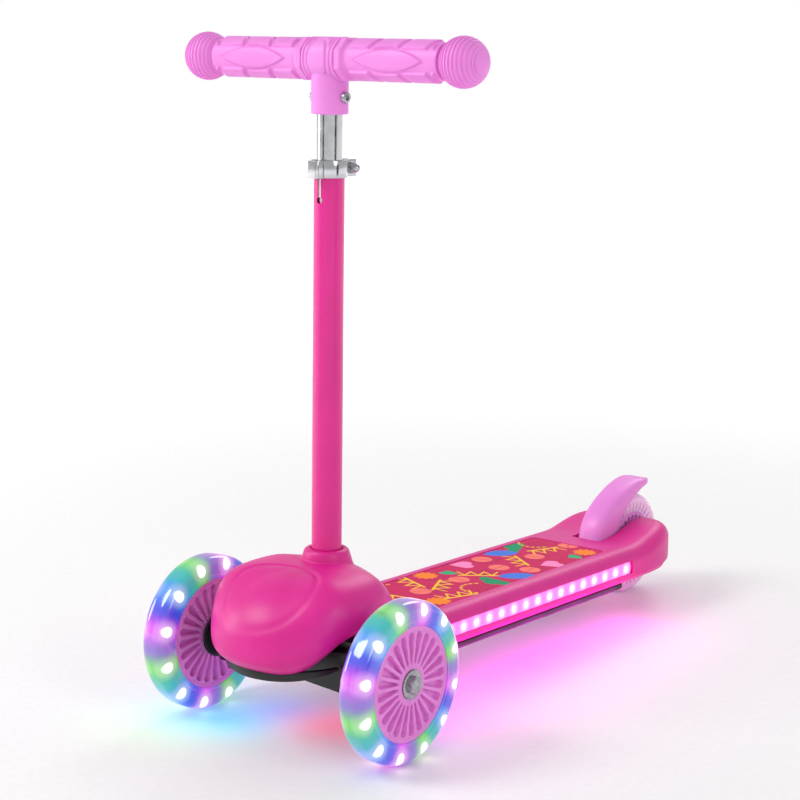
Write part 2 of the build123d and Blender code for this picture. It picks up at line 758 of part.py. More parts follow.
bolt_place = stem_plane(clamp_bottom + clamp_height / 2).location * Location((0, ear_y, 0), (0, 90, 0))
with BuildPart() as clamp_bolt:
    with Locations(bolt_place):
        Cylinder(2.5, 16)
    with Locations(bolt_place * Location((0, 0, -7.5))):
        Cylinder(4.2, 5)
save(clamp_bolt, "clamp_bolt")

with BuildPart() as clamp_nut:
    with Locations(bolt_place * Location((0, 0, 7))):
        Cylinder(4.2, 4)
    with Locations(bolt_place * Location((0, 0, 9))):
        Sphere(3.6)
    with Locations(bolt_place):
        Cylinder(2.5, 16, mode=Mode.SUBTRACT)
save(clamp_nut, "clamp_nut")

tube_bottom = 140
inner_top = 352
save(ring(stem_plane(tube_bottom), outer_tube_bore - running_gap, inner_tube_radius, 20), "tube_glide")

# ---- handlebar: centre block, crossbar and two grips ----
bar_place = stem_plane(handlebar_up).location * Location((0, 0, 0), (0, 90, 0))
block_bolt_up = 338
block_bolt_place = stem_plane(block_bolt_up).location * Location((0, 0, 0), (0, 90, 0))
collar_radius = 13.6
with BuildPart() as inner_tube:
    with BuildSketch(stem_plane(tube_bottom)):
        Circle(inner_tube_radius)
        Circle(8.3, mode=Mode.SUBTRACT)
    extrude(amount=inner_top - tube_bottom)
    with Locations(block_bolt_place):
        Cylinder(2.5, 60, mode=Mode.SUBTRACT)
save(inner_tube, "inner_tube")

with BuildPart() as handlebar_block:
    with Locations(bar_place):
        Cylinder(16.5, 2 * block_half_width)
    with BuildSketch(stem_plane(326)):
        Circle(collar_radius)
    extrude(amount=30)
    with BuildSketch(stem_plane(326)):
        Circle(inner_tube_radius)
    extrude(amount=inner_top - 326, mode=Mode.SUBTRACT)
    with Locations(bar_place):
        Cylinder(8, 60, mode=Mode.SUBTRACT)
    with Locations(block_bolt_place):
        Cylinder(2.5, 60, mode=Mode.SUBTRACT)
save(handlebar_block, "handlebar_block")

with BuildPart() as block_bolt:
    with Locations(block_bolt_place):
        Cylinder(2.5, 2 * collar_radius + 1)
    with Locations(block_bolt_place * Location((0, 0, collar_radius + 1.4))):
        Cylinder(4, 2.8)
    with Locations(block_bolt_place * Location((0, 0, -collar_radius - 2))):
        Cylinder(4, 4)
save(block_bolt, "block_bolt")

with BuildPart() as crossbar:
    with Locations(bar_place):
        Cylinder(8, 2 * 112)
        Cylinder(6.8, 2 * 112, mode=Mode.SUBTRACT)
save(crossbar, "crossbar")

neck_x = 104
neck_radius = sqrt(grip_ball_radius**2 - (grip_ball_x - neck_x)**2)
for side_name, side in sides.items():
    grip_plane = stem_plane(handlebar_up)
    with BuildPart() as grip:
        with BuildSketch(grip_plane):
            with BuildLine():
                Polyline((block_half_width, 8), (block_half_width, 16), (21, 16.4), (24, grip_radius - 1.5),
                         (27, grip_radius), (98, grip_radius), (101, 12.6), (neck_x, neck_radius))
                ThreePointArc((neck_x, neck_radius), (grip_ball_x, grip_ball_radius),
                              (grip_ball_x + grip_ball_radius, 0))
                Polyline((grip_ball_x + grip_ball_radius, 0), (112, 0), (112, 8), (block_half_width, 8))
            make_face()
        revolve(axis=Axis(grip_plane.origin, (1, 0, 0)))
    if side < 0:
        with BuildPart() as mirrored_grip:
            add(mirror(grip.part, about=Plane.YZ, mode=Mode.PRIVATE))
        grip = mirrored_grip
    save(grip, f"grip_{side_name}")
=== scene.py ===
import json
from math import pi, radians

import bmesh
import bpy
import numpy as np
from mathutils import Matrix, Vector


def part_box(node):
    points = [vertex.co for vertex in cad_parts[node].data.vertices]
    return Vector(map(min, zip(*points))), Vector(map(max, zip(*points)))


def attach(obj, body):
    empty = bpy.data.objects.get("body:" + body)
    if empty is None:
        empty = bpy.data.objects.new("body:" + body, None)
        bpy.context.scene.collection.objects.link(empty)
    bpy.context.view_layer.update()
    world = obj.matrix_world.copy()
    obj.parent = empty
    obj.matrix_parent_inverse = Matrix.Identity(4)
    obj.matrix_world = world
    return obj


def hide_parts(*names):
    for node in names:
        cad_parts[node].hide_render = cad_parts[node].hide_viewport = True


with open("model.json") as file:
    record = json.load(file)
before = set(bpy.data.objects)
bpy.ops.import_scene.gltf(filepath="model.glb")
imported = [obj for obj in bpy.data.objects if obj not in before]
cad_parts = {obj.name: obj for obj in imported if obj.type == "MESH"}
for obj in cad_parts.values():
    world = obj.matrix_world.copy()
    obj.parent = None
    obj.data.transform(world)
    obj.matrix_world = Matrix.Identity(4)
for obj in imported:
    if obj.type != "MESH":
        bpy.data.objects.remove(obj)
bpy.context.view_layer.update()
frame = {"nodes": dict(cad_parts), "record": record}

# Child's three-wheel kick scooter. Pieces are worked out in millimetres and put into the mesh in metres.
mm = 0.001
bodyOf = {node: body for body, nodes in frame["record"]["behaviour"]["bodies"].items() for node in nodes}


def nodeBox(node):
    low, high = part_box(node)
    return np.array(low) / mm, np.array(high) / mm


def middle(node):
    low, high = nodeBox(node)
    return (low + high) / 2


frontWheel = middle("front_tyre_left")
rearWheel = middle("rear_tyre")
axleY = frontWheel[1]
barCentre = middle("crossbar")
stemTilt = radians(1.3)
stemAxis = np.array([0, np.sin(stemTilt), np.cos(stemTilt)])
stemFoot = barCentre - stemAxis * 365          # where the stem leaves the housing's collar


def smooth(low, high, value):
    # 0 below low, 1 above high, an S-curve between
    share = np.clip((value - low) / (high - low), 0, 1)
    return share * share * (3 - 2 * share)


def softMax(a, b, width):
    # the larger of two heights, with a fillet where they are within width of each other
    gap = np.maximum(width - np.abs(a - b), 0) / width
    return np.maximum(a, b) + gap * gap * width / 4


# ---- mesh making ----
def gridFaces(countU, countV, closeU, closeV, first):
    # corner numbers of the quads of a grid, joined up along u or v where it closes
    u = np.arange(countU if closeU else countU - 1)[:, None]
    v = np.arange(countV if closeV else countV - 1)[None, :]
    here, beside = u * countV, (u + 1) % countU * countV
    after = (v + 1) % countV
    corners = np.broadcast_arrays(here + v, beside + v, beside + after, here + after)
    return first + np.stack(corners, -1).reshape(-1, 4)


def shadeSmooth(mesh, sharpAngle):
    # smooth faces, but edges sharper than the angle stay crisp
    mesh.polygons.foreach_set("use_smooth", np.ones(len(mesh.polygons), bool))
    mesh.set_sharp_from_angle(angle=radians(sharpAngle))


def tidyMesh(mesh):
    # merges seams and poles and turns every face outwards
    work = bmesh.new()
    work.from_mesh(mesh)
    bmesh.ops.remove_doubles(work, verts=work.verts, dist=2e-6)
    bmesh.ops.dissolve_degenerate(work, edges=work.edges, dist=1e-7)
    bmesh.ops.recalc_face_normals(work, faces=work.faces)
    work.to_mesh(mesh)
    work.free()


def addObject(name, data):
    made = bpy.data.objects.new(name, data)
    bpy.context.scene.collection.objects.link(made)
    return made


def addPiece(name, grids, sharpAngle=40):
    # grids: (points[u, v, xyz] in millimetres, closeU, closeV) for each closed surface of the piece
    points, faces, count = [], [], 0
    for grid, closeU, closeV in grids:
        faces.append(gridFaces(grid.shape[0], grid.shape[1], closeU, closeV, count))
        points.append(grid.reshape(-1, 3))
        count += grid.shape[0] * grid.shape[1]
    mesh = bpy.data.meshes.new(name)
    mesh.from_pydata((np.concatenate(points) * mm).tolist(), [], np.concatenate(faces).tolist())
    tidyMesh(mesh)
    shadeSmooth(mesh, sharpAngle)
    return addObject(name, mesh)


def useResult(piece, sharpAngle=40):
    # puts the result of the piece's modifiers into its mesh
    bpy.context.view_layer.update()
    solved = piece.evaluated_get(bpy.context.evaluated_depsgraph_get())
    mesh = bpy.data.meshes.new_from_object(solved)
    piece.modifiers.clear()
    piece.data = mesh
    shadeSmooth(mesh, sharpAngle)


def cutAway(piece, cutter, sharpAngle):
    # takes the cutter's solids out of the piece
    cut = piece.modifiers.new("cut", "BOOLEAN")
    cut.operation = "DIFFERENCE"
    cut.solver = "EXACT"
    cut.object = cutter
    useResult(piece, sharpAngle)
    bpy.data.objects.remove(cutter)


def finishPiece(piece, material, slot, *nodes, body=None):
    # gives a piece its finish and its body, and says which CAD nodes it stands for
    piece.data.materials.clear()
    piece.data.materials.append(material)
    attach(piece, body or bodyOf[nodes[0]])
    if nodes:
        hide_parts(*nodes)
    return piece


def frameOf(axis, up):
    # three square directions: the axis, the second as near as can be to up, and the third across
    axis = np.array(axis, float) / np.linalg.norm(axis)
    second = np.array(up, float) - np.dot(up, axis) * axis
    second /= np.linalg.norm(second)
    return axis, second, np.cross(axis, second)


def turned(centre, axis, profile, steps=96, hexShare=0, up=(0, 0, 1)):
    # a profile of (along, radius) carried round an axis; hexShare of 1 makes the round a hexagon
    along, across, third = frameOf(axis, up)
    profile = np.array(profile, float)
    angle = np.linspace(0, 2 * pi, steps, endpoint=False)
    hexagon = np.cos(pi / 6) / np.cos((angle % (pi / 3)) - pi / 6)
    share = np.broadcast_to(hexShare, profile[:, 0].shape)
    reach = profile[None, :, 1] * (1 - share + share * hexagon[:, None])
    ray = np.cos(angle)[:, None] * across + np.sin(angle)[:, None] * third
    return np.array(centre) + profile[None, :, :1] * along + reach[..., None] * ray[:, None, :]


def roundedProfile(corners, steps=6):
    # a closed or open profile whose corners (along, radius, rounding) become arcs of about that size
    rows = []
    count = len(corners)
    for number, (along, radius, size) in enumerate(corners):
        here = np.array([along, radius])
        if size == 0 or number in (0, count - 1):
            rows.append(here[None])
            continue
        before = np.array(corners[number - 1][:2]) - here
        after = np.array(corners[number + 1][:2]) - here
        start = here + before / np.linalg.norm(before) * size
        end = here + after / np.linalg.norm(after) * size
        share = np.linspace(0, 1, steps)[:, None]
        rows.append((1 - share)**2 * start + 2 * share * (1 - share) * here + share**2 * end)
    return np.concatenate(rows)


def softBox(low, high, radius, place, steps=5):
    # block with rounded upright edges, as a loft of rounded rectangles: local x, y, z through place
    low, high = np.array(low, float), np.array(high, float)
    width, depth = ((high - low) / 2 - radius)[:2]
    turn = np.concatenate([np.linspace(a, a + pi / 2, steps) for a in (0, pi / 2, pi, 1.5 * pi)])
    x = np.repeat([1, -1, -1, 1], steps) * width + radius * np.cos(turn)
    y = np.repeat([1, 1, -1, -1], steps) * depth + radius * np.sin(turn)
    middleX, middleY = ((low + high) / 2)[:2]
    ends = ((0, low[2]), (1, low[2]), (1, high[2]), (0, high[2]))
    grid = np.stack([np.stack([middleX + size * x, middleY + size * y, np.full_like(x, z)], -1)
                     for size, z in ends], 1)
    return place(grid), True, False


# ---- materials ----
def toLinear(colour):
    # "#RRGGBB" in sRGB to linear red, green, blue and 1
    values = np.array([int(colour[i:i + 2], 16) for i in (1, 3, 5)]) / 255
    linear = np.where(values <= 0.04045, values / 12.92, ((values + 0.055) / 1.055)**2.4)
    return (*linear.tolist(), 1.0)


def putInto(tree, socket, value):
    # a link, a number or an sRGB colour into a node's socket
    value = getattr(value, "socket", value)
    if isinstance(value, bpy.types.NodeSocket):
        tree.links.new(value, socket)
    else:
        socket.default_value = toLinear(value) if isinstance(value, str) else value


def addNode(tree, kind, inputs=None, **settings):
    # adds one node; inputs are values, or sockets to link from
    node = tree.nodes.new(kind)
    for key, value in settings.items():
        setattr(node, key, value)
    for key, value in (inputs or {}).items():
        putInto(tree, node.inputs[key], value)
    return node


class Value:
    # what flows out of a node's socket, with plain arithmetic
    def __init__(self, tree, socket):
        self.tree, self.socket = tree, socket

    def step(self, operation, *others):
        node = addNode(self.tree, "ShaderNodeMath", dict(enumerate((self, *others))), operation=operation)
        return Value(self.tree, node.outputs[0])

    def span(self, low, high, outLow, outHigh, kind="LINEAR"):
        # the range from low to high stretched to the one from outLow to outHigh
        inputs = {"Value": self, 1: low, 2: high, 3: outLow, 4: outHigh}
        node = addNode(self.tree, "ShaderNodeMapRange", inputs, interpolation_type=kind)
        return Value(self.tree, node.outputs[0])

    def __add__(self, other):
        return self.step("ADD", other)

    def __sub__(self, other):
        return self.step("SUBTRACT", other)

    def __mul__(self, other):
        return self.step("MULTIPLY", other)

    def __truediv__(self, other):
        return self.step("DIVIDE", other)

    def __abs__(self):
        return self.step("ABSOLUTE")


class Surface:
    # one material in the making: its nodes, its shader and the place on the object
    def __init__(self, name):
        self.material = bpy.data.materials.new(name)
        self.material.use_nodes = True
        self.tree = self.material.node_tree
        self.tree.nodes.clear()
        self.shader = addNode(self.tree, "ShaderNodeBsdfPrincipled")
        addNode(self.tree, "ShaderNodeOutputMaterial", {"Surface": self.shader.outputs[0]})
        self.place = self.value("ShaderNodeTexCoord", "Object")

    def value(self, kind, output, inputs=None, **settings):
        return Value(self.tree, addNode(self.tree, kind, inputs, **settings).outputs[output])

    def axes(self):
        parts = addNode(self.tree, "ShaderNodeSeparateXYZ", {0: self.place}).outputs
        return [Value(self.tree, parts[axis]) for axis in "XYZ"]

    def noise(self, size, detail=3.0, place=None):
        # noise whose blotches are size millimetres across
        inputs = {"Vector": place or self.place, "Scale": 1 / (size * mm), "Detail": detail, "Roughness": 0.5}
        return self.value("ShaderNodeTexNoise", "Fac", inputs)

    def ramp(self, value, stops, kind="LINEAR"):
        node = addNode(self.tree, "ShaderNodeValToRGB", {"Fac": value})
        node.color_ramp.interpolation = kind
        elements = node.color_ramp.elements
        for element, (position, colour) in zip(elements, (stops[0], stops[-1])):
            element.position, element.color = position, toLinear(colour)
        for position, colour in stops[1:-1]:
            elements.new(position).color = toLinear(colour)
        return Value(self.tree, node.outputs["Color"])

    def mix(self, share, first, second):
        return self.value("ShaderNodeMix", 2, {"Factor": share, 6: first, 7: second}, data_type="RGBA")

    def give(self, **values):
        for key, value in values.items():
            putInto(self.tree, self.shader.inputs[key.replace("_", " ")], value)
        return self.material

    def bump(self, height, depth):
        # bump whose full height is depth millimetres
        inputs = {"Height": height, "Distance": depth * mm, "Strength": 1.0}
        return self.give(Normal=self.value("ShaderNodeBump", 0, inputs))


def mouldedPlastic(name, colour, deeper, roughness, grain, grainDepth, ior=1.49, glow=0.0):
    # moulded polyolefin or vinyl: a soft sheen, a faint mottle from the melt's flow, and the tool's grain
    m = Surface(name)
    fine = m.noise(grain, 2)
    m.give(Base_Color=m.ramp(m.noise(26, 2), ((0.3, deeper), (0.7, colour))), IOR=ior,
           Roughness=fine.span(0.3, 0.7, roughness - 0.05, roughness + 0.06))
    if glow:
        m.give(Subsurface_Weight=glow, Subsurface_Scale=0.004)
    return m.bump(fine, grainDepth)


magentaPolypropylene = mouldedPlastic("magenta polypropylene, injection moulded, satin", "#E11B93", "#D9178B",
                                      0.4, 0.9, 0.012)
palePolypropylene = mouldedPlastic("pale pink polypropylene, injection moulded", "#EE8DE2", "#E884DA",
                                   0.36, 0.8, 0.01, glow=0.15)
paleVinyl = mouldedPlastic("pale pink vinyl, moulded grip", "#EC8ADF", "#E682D8", 0.46, 0.7, 0.02, ior=1.53,
                           glow=0.12)
hubPlastic = mouldedPlastic("pale pink polypropylene, moulded hub", "#EE90E2", "#E584D8", 0.33, 0.7, 0.01,
                            glow=0.15)
blackNylon = mouldedPlastic("black glass-filled nylon, moulded", "#161517", "#0F0E10", 0.42, 1.1, 0.03,
                            ior=1.53)
whiteAcetal = mouldedPlastic("white acetal, turned", "#E9E9E4", "#DFDFD8", 0.32, 0.6, 0.01, ior=1.48)
greyUrethane = mouldedPlastic("grey urethane buffer, cast", "#5B5A5F", "#4E4D52", 0.5, 1.4, 0.03, ior=1.5)


def paintedSteel():
    # powder-coated tube: a deep even colour under gloss, with the faint orange peel of melted powder
    m = Surface("magenta powder coat on steel tube")
    peel = m.noise(2.4, 1)
    m.give(Base_Color=m.ramp(m.noise(40, 2), ((0.3, "#DB1788"), (0.7, "#E41C90"))),
           Roughness=peel.span(0.2, 0.8, 0.3, 0.38), IOR=1.5, Coat_Weight=0.35, Coat_Roughness=0.2,
           Specular_IOR_Level=0.35)
    return m.bump(peel, 0.012)


def chromedSteel():
    # chrome plate over a drawn tube: mirror bright, with fine draw lines and a few dull rub marks
    m = Surface("chromed steel, drawn and plated")
    stretch = m.value("ShaderNodeMapping", 0, {"Vector": m.place, "Scale": (1, 1, 0.03)})
    lines, rub = m.noise(0.5, 2, stretch), m.noise(14, 3)
    m.give(Base_Color=m.ramp(rub, ((0.3, "#B9BABD"), (0.7, "#CBCCCF"))), Metallic=1.0,
           Roughness=(lines * rub).span(0.1, 0.45, 0.1, 0.24))
    return m.bump(lines, 0.004)


def zincSteel():
    # bright zinc plate: cool grey, slightly cloudy
    m = Surface("zinc plated steel fastener")
    cloud = m.noise(3, 3)
    m.give(Base_Color=m.ramp(cloud, ((0.3, "#9A9CA0"), (0.7, "#C0C2C5"))), Metallic=1.0,
           Roughness=cloud.span(0.3, 0.7, 0.22, 0.36))
    return m.bump(cloud, 0.006)


def patternedFilm(name, ground, accent, size, roughness):
    # printed film or board: a flat ground with small blocks of a second colour
    m = Surface(name)
    blocks = m.value("ShaderNodeTexVoronoi", "Distance", {"Vector": m.place, "Scale": 1 / (size * mm)},
                     distance="CHEBYCHEV")
    return m.give(Base_Color=m.ramp(blocks, ((0.42, ground), (0.46, accent))),
                  Roughness=m.noise(1.5).span(0.3, 0.7, roughness - 0.05, roughness + 0.05))


powderCoat = paintedSteel()
chrome = chromedSteel()
zinc = zincSteel()
circuitBoard = patternedFilm("green soldermask on fibreglass board", "#14532F", "#C8B04A", 3.2, 0.35)
batteryFilm = patternedFilm("blue shrink film over cells", "#2C4FA0", "#3A60B8", 18, 0.3)
ferrite = mouldedPlastic("black ferrite magnet, pressed", "#2B2A2C", "#222123", 0.5, 0.8, 0.02, ior=1.6)


def wheelAngle(m, centre):
    # angle round the axle as 0 to 1, and the distance from it and along it in millimetres
    x, y, z = m.axes()
    y, z = y - centre[1] * mm, z - centre[2] * mm
    return z.step("ARCTAN2", y) / (2 * pi) + 0.5, (y * y + z * z).step("SQRT") / mm, x / mm


litTyre = dict(lamps=12, lampRadius=53, lampSide=7, hot=(4.1, 6.2), halo=12, bands=4, strength=0.62,
               hotStrength=2.5,
               colours=("#8C6FC9", "#56D12E", "#2FB6B0", "#2B8DF0", "#4B4FE0", "#DF3FEF", "#8C6FC9"))


def litUrethane(name, side, values):
    # clear cast urethane over small lamps: broad bands of coloured light with a white-hot spot at each lamp
    m = Surface(name)
    turn, radius, x = wheelAngle(m, frontWheel)
    stops = [(number / 6, colour) for number, colour in enumerate(values["colours"])]
    band = m.ramp((turn * values["bands"]).step("FRACT"), stops, "EASE")
    # distance to the nearest lamp, round the wheel, outwards and along the axle
    arc = ((turn * values["lamps"]).step("FRACT") - 0.5) * (2 * pi * values["lampRadius"] / values["lamps"])
    out = radius - values["lampRadius"]
    aside = abs(x - side * frontWheel[0]) - values["lampSide"]
    far = (arc * arc + out * out + aside * aside).step("SQRT")
    hot = far.span(*values["hot"], 1.0, 0.0, "SMOOTHSTEP")
    halo = far.span(values["hot"][0], values["halo"], 0.6, 0.0, "SMOOTHSTEP")
    ripple = m.noise(9, 2)
    m.give(Emission_Color=m.mix(hot, m.mix(halo, band, "#FFFFFF"), "#FFFFFF"),
           Emission_Strength=hot * values["hotStrength"] + values["strength"],
           Base_Color=m.mix(0.55, band, "#2A2440"), Roughness=ripple.span(0.3, 0.7, 0.08, 0.16), IOR=1.5,
           Coat_Weight=1.0, Coat_Roughness=0.04)
    return m.bump(ripple, 0.05)


def rearUrethane():
    # pink-tinted clear urethane: milky through its depth, with the moulded dashes of the rim showing
    m = Surface("clear pink urethane tyre, cast")
    turn, radius, x = wheelAngle(m, rearWheel)
    dash = (turn * 36).step("FRACT").span(0.62, 0.68, 0, 1) * radius.span(37.5, 38.2, 1, 0)
    ripple = m.noise(7, 2)
    m.give(Base_Color=m.mix(dash, "#F6BCEB", "#D988CF"), Roughness=ripple.span(0.3, 0.7, 0.1, 0.2), IOR=1.5,
           Coat_Weight=0.8, Coat_Roughness=0.06, Subsurface_Weight=0.35, Subsurface_Scale=0.006)
    return m.bump(ripple, 0.04)


lightBar = dict(lamps=16, front=104, rear=386, endGap=12, drop=(9.5, 20.5), halfWidth=54, strength=0.9,
                hotStrength=9.0)


def litLens(values):
    # frosted lens over a row of lamps: pink light with a white-hot dot at each lamp
    m = Surface("frosted pink polycarbonate lens, lit")
    x, y, z = m.axes()
    start = values["front"] + values["endGap"]
    pitch = (values["rear"] - values["endGap"] - start) / (values["lamps"] - 1)
    along = y / mm - (axleY + start)
    across = ((along / pitch + 0.5).step("FRACT") - 0.5) * pitch
    height = z / mm - (deckTopAt(start) - sum(values["drop"]) / 2) + along * deckShell["slope"]
    far = (across * across + height * height).step("SQRT")
    frost = m.noise(0.8, 2)
    hot = far.span(1.5, 3.0, 1, 0, "SMOOTHSTEP")
    m.give(Emission_Color=m.mix(far.span(1.5, 7.5, 0.8, 0, "SMOOTHSTEP"), "#F455C8", "#FFE6FA"),
           Emission_Strength=hot * values["hotStrength"] + values["strength"],
           Roughness=frost.span(0.3, 0.7, 0.16, 0.26), Base_Color="#F27AD6", IOR=1.58, Coat_Weight=0.6,
           Coat_Roughness=0.05)
    return m.bump(frost, 0.01)


print("materials ready")

# ---- deck shell: the housing over the front truck, the standing deck and the tail in one moulding ----
deckShell = dict(
    topHeight=72.5, topAt=150, slope=0.0415, halfWidth=54, side=28, shoulder=13, turnIn=4,
    domeHalfWidth=63, domeCentre=2, domeFront=66, domeRear=74.6, domeEdge=95.5, noseEdge=76, plateau=127.7,
    planPower=2.15, domePower=4.5, nosePower=2.3, edgePower=0.38, noseEdgePower=0.5, rearPower=1.55, fillet=9,
    wall=3, innerTailStart=330, innerTailEnd=391, innerTailPower=9,
    rim=62, rimRise=22, rimRiseFrom=-60, rimRiseTo=-6, rimTurnIn=13,
    tailStart=400, tailEnd=490, tailPower=3.2, riseStart=398, riseTop=462, rise=10.5, tailDrop=0.027,
    archRadius=31, archHeight=59, slotStart=392, slotHalfWidth=15, slotEnd=520,
    pocketInner=19, pocketOuter=36, pocketStart=398, pocketEnd=468, pocketTop=57,
    panelHalfWidth=38, panelFront=72, panelRear=366, panelDepth=1.6,
    ovalCentre=-30, ovalHalfWidth=36, ovalHalfLength=30, ovalDepth=0.9, ovalWidth=1.5,
)


def deckTopAt(distance):
    # height of the standing surface behind the front axle, before the tail's rise
    return deckShell["topHeight"] - deckShell["slope"] * (distance - deckShell["topAt"])


def tailTopAt(distance):
    # the standing surface, rising round the rear wheel and falling away at the tip
    d = deckShell
    rise = d["rise"] * smooth(d["riseStart"], d["riseTop"], distance)
    return deckTopAt(distance) + rise - d["tailDrop"] * np.maximum(distance - d["riseTop"], 0)**2


def domeTopAt(x, distance):
    # superellipse dome: edge + height * (1 - r^n)^m, where r is 1 on the plan's oval. Towards the nose the
    # edge drops and n and m turn to a round slope, towards the rear m grows to a hollow one, and an oval
    # groove is sunk in front
    d = deckShell
    fore = distance - d["domeCentre"]
    length = np.where(fore < 0, d["domeFront"], d["domeRear"])
    plan = d["planPower"]
    r = (np.abs(x / d["domeHalfWidth"])**plan + np.abs(fore / length)**plan)**(1 / plan)
    way = fore / length / np.maximum(r, 1e-6)
    nose, rear = smooth(0.25, 0.95, -way), smooth(0.38, 1.05, way)
    m = d["edgePower"]
    m = m + (d["noseEdgePower"] - m) * nose + (d["rearPower"] - m) * rear
    n = d["domePower"] + (d["nosePower"] - d["domePower"]) * nose
    edge = d["domeEdge"] + (d["noseEdge"] - d["domeEdge"]) * nose
    falling = 150 * np.maximum(r - 1, 0)                # outside the plan the dome drops out of reach
    top = edge + (d["plateau"] - edge) * np.maximum(1 - r**n, 0)**m - falling
    oval = np.hypot(x / d["ovalHalfWidth"], (distance - d["ovalCentre"]) / d["ovalHalfLength"])
    miss = (oval - 1) * d["ovalHalfLength"]
    return top - d["ovalDepth"] * np.exp(-(miss / d["ovalWidth"])**2) - 0.5 * smooth(1.5, -1.5, miss)


def deckOutline(inset, tailStart, tailEnd, tailPower):
    # plan of half the shell from nose to tail: oval nose, straight sides, superellipse tail; then its spine
    d = deckShell
    nose = np.linspace(0, pi / 2, 44)
    foreX = d["domeHalfWidth"] * np.sin(nose)**(2 / d["planPower"])
    foreY = d["domeCentre"] - d["domeFront"] * np.cos(nose)**(2 / d["planPower"])
    spineEnd = tailStart + 0.45 * (tailEnd - tailStart)
    stations = ((d["domeCentre"], 100, 70), (100, tailStart, 90), (tailStart, spineEnd, 24))
    sideY = np.concatenate([np.linspace(*station)[1:] for station in stations])
    tailShare = np.maximum(sideY - tailStart, 0) / (tailEnd - tailStart)
    aft = ((sideY - d["domeCentre"]) / d["domeRear"])**d["planPower"]
    dome = d["domeHalfWidth"] * np.maximum(1 - aft, 0)**(1 / d["planPower"])
    sideX = softMax(dome, d["halfWidth"] * np.sqrt(1 - tailShare**tailPower), 7)
    first = np.arcsin(0.45**(tailPower / 2))
    turn = np.linspace(first, pi / 2, 40)[1:]
    aftX = d["halfWidth"] * np.cos(turn)
    aftY = tailStart + (tailEnd - tailStart) * np.sin(turn)**(2 / tailPower)
    outline = np.stack([np.concatenate([foreX, sideX, aftX]), np.concatenate([foreY, sideY, aftY])], -1)
    spineY = np.concatenate([np.full(len(nose), d["domeCentre"]), sideY, np.full(len(turn), spineEnd)])
    spine = np.stack([0 * spineY, spineY], -1)
    ray = outline - spine
    length = np.linalg.norm(ray, axis=-1, keepdims=True)
    return spine + ray * (length - inset) / length, spine


def skin(outline, spine, inset, share):
    # the top skin: points along the rays from spine to outline, at the larger of deck and dome heights
    d = deckShell
    place = spine[:, None] + (outline - spine)[:, None] * share[None, :, None]
    miss = np.linalg.norm(outline - spine, axis=-1)[:, None] * (1 - share)
    radius = d["shoulder"] - inset
    deck = tailTopAt(place[..., 1]) - inset - radius
    deck = deck + np.sqrt(radius**2 - np.maximum(radius - miss, 0)**2)
    dome = domeTopAt(place[..., 0], place[..., 1]) - inset
    height = softMax(deck, np.where(place[..., 1] < 90, dome, -100), d["fillet"])
    return np.concatenate([place, height[..., None]], -1)


def shellHalf():
    # outer skin, flank, bottom edge, inner flank and inner skin of the right half, as one grid
    d = deckShell
    share = 1 - (1 - np.linspace(0, 1, 46))**1.7
    flank = np.linspace(0, 1, 14)[None, 1:]
    outer, outerSpine = deckOutline(0, d["tailStart"], d["tailEnd"], d["tailPower"])
    inner, innerSpine = deckOutline(d["wall"], d["innerTailStart"], d["innerTailEnd"], d["innerTailPower"])
    halves = []
    for outline, spine, inset in ((outer, outerSpine, 0), (inner, innerSpine, d["wall"])):
        top = skin(outline, spine, inset, share)
        along = outline[:, 1]
        deckShare = smooth(30, 44, along)
        rim = d["rim"] + d["rimRise"] * smooth(d["rimRiseFrom"], d["rimRiseTo"], along)
        bottom = rim + (deckTopAt(along) - d["side"] - rim) * deckShare
        edge = top[:, -1]
        turnIn = d["rimTurnIn"] + (d["turnIn"] - d["rimTurnIn"]) * deckShare
        curl = flank**2.2 + (smooth(0.72, 1, flank) - flank**2.2) * deckShare[:, None]
        ray = (spine - outline) / np.linalg.norm(spine - outline, axis=-1, keepdims=True)
        rows = edge[:, None].repeat(flank.size, 1)
        rows[..., :2] += ray[:, None] * (turnIn[:, None] * curl)[..., None]
        rows[..., 2] += (bottom - edge[:, 2])[:, None] * flank
        halves.append((top, rows))
    (outerTop, outerSide), (innerTop, innerSide) = halves
    return np.concatenate([outerTop, outerSide, innerSide[:, ::-1], innerTop[:, ::-1]], 1)


def toScooter(grid):
    # (x, distance behind the front axle, height) to the scooter's own frame
    return grid + np.array([0, axleY, 0])


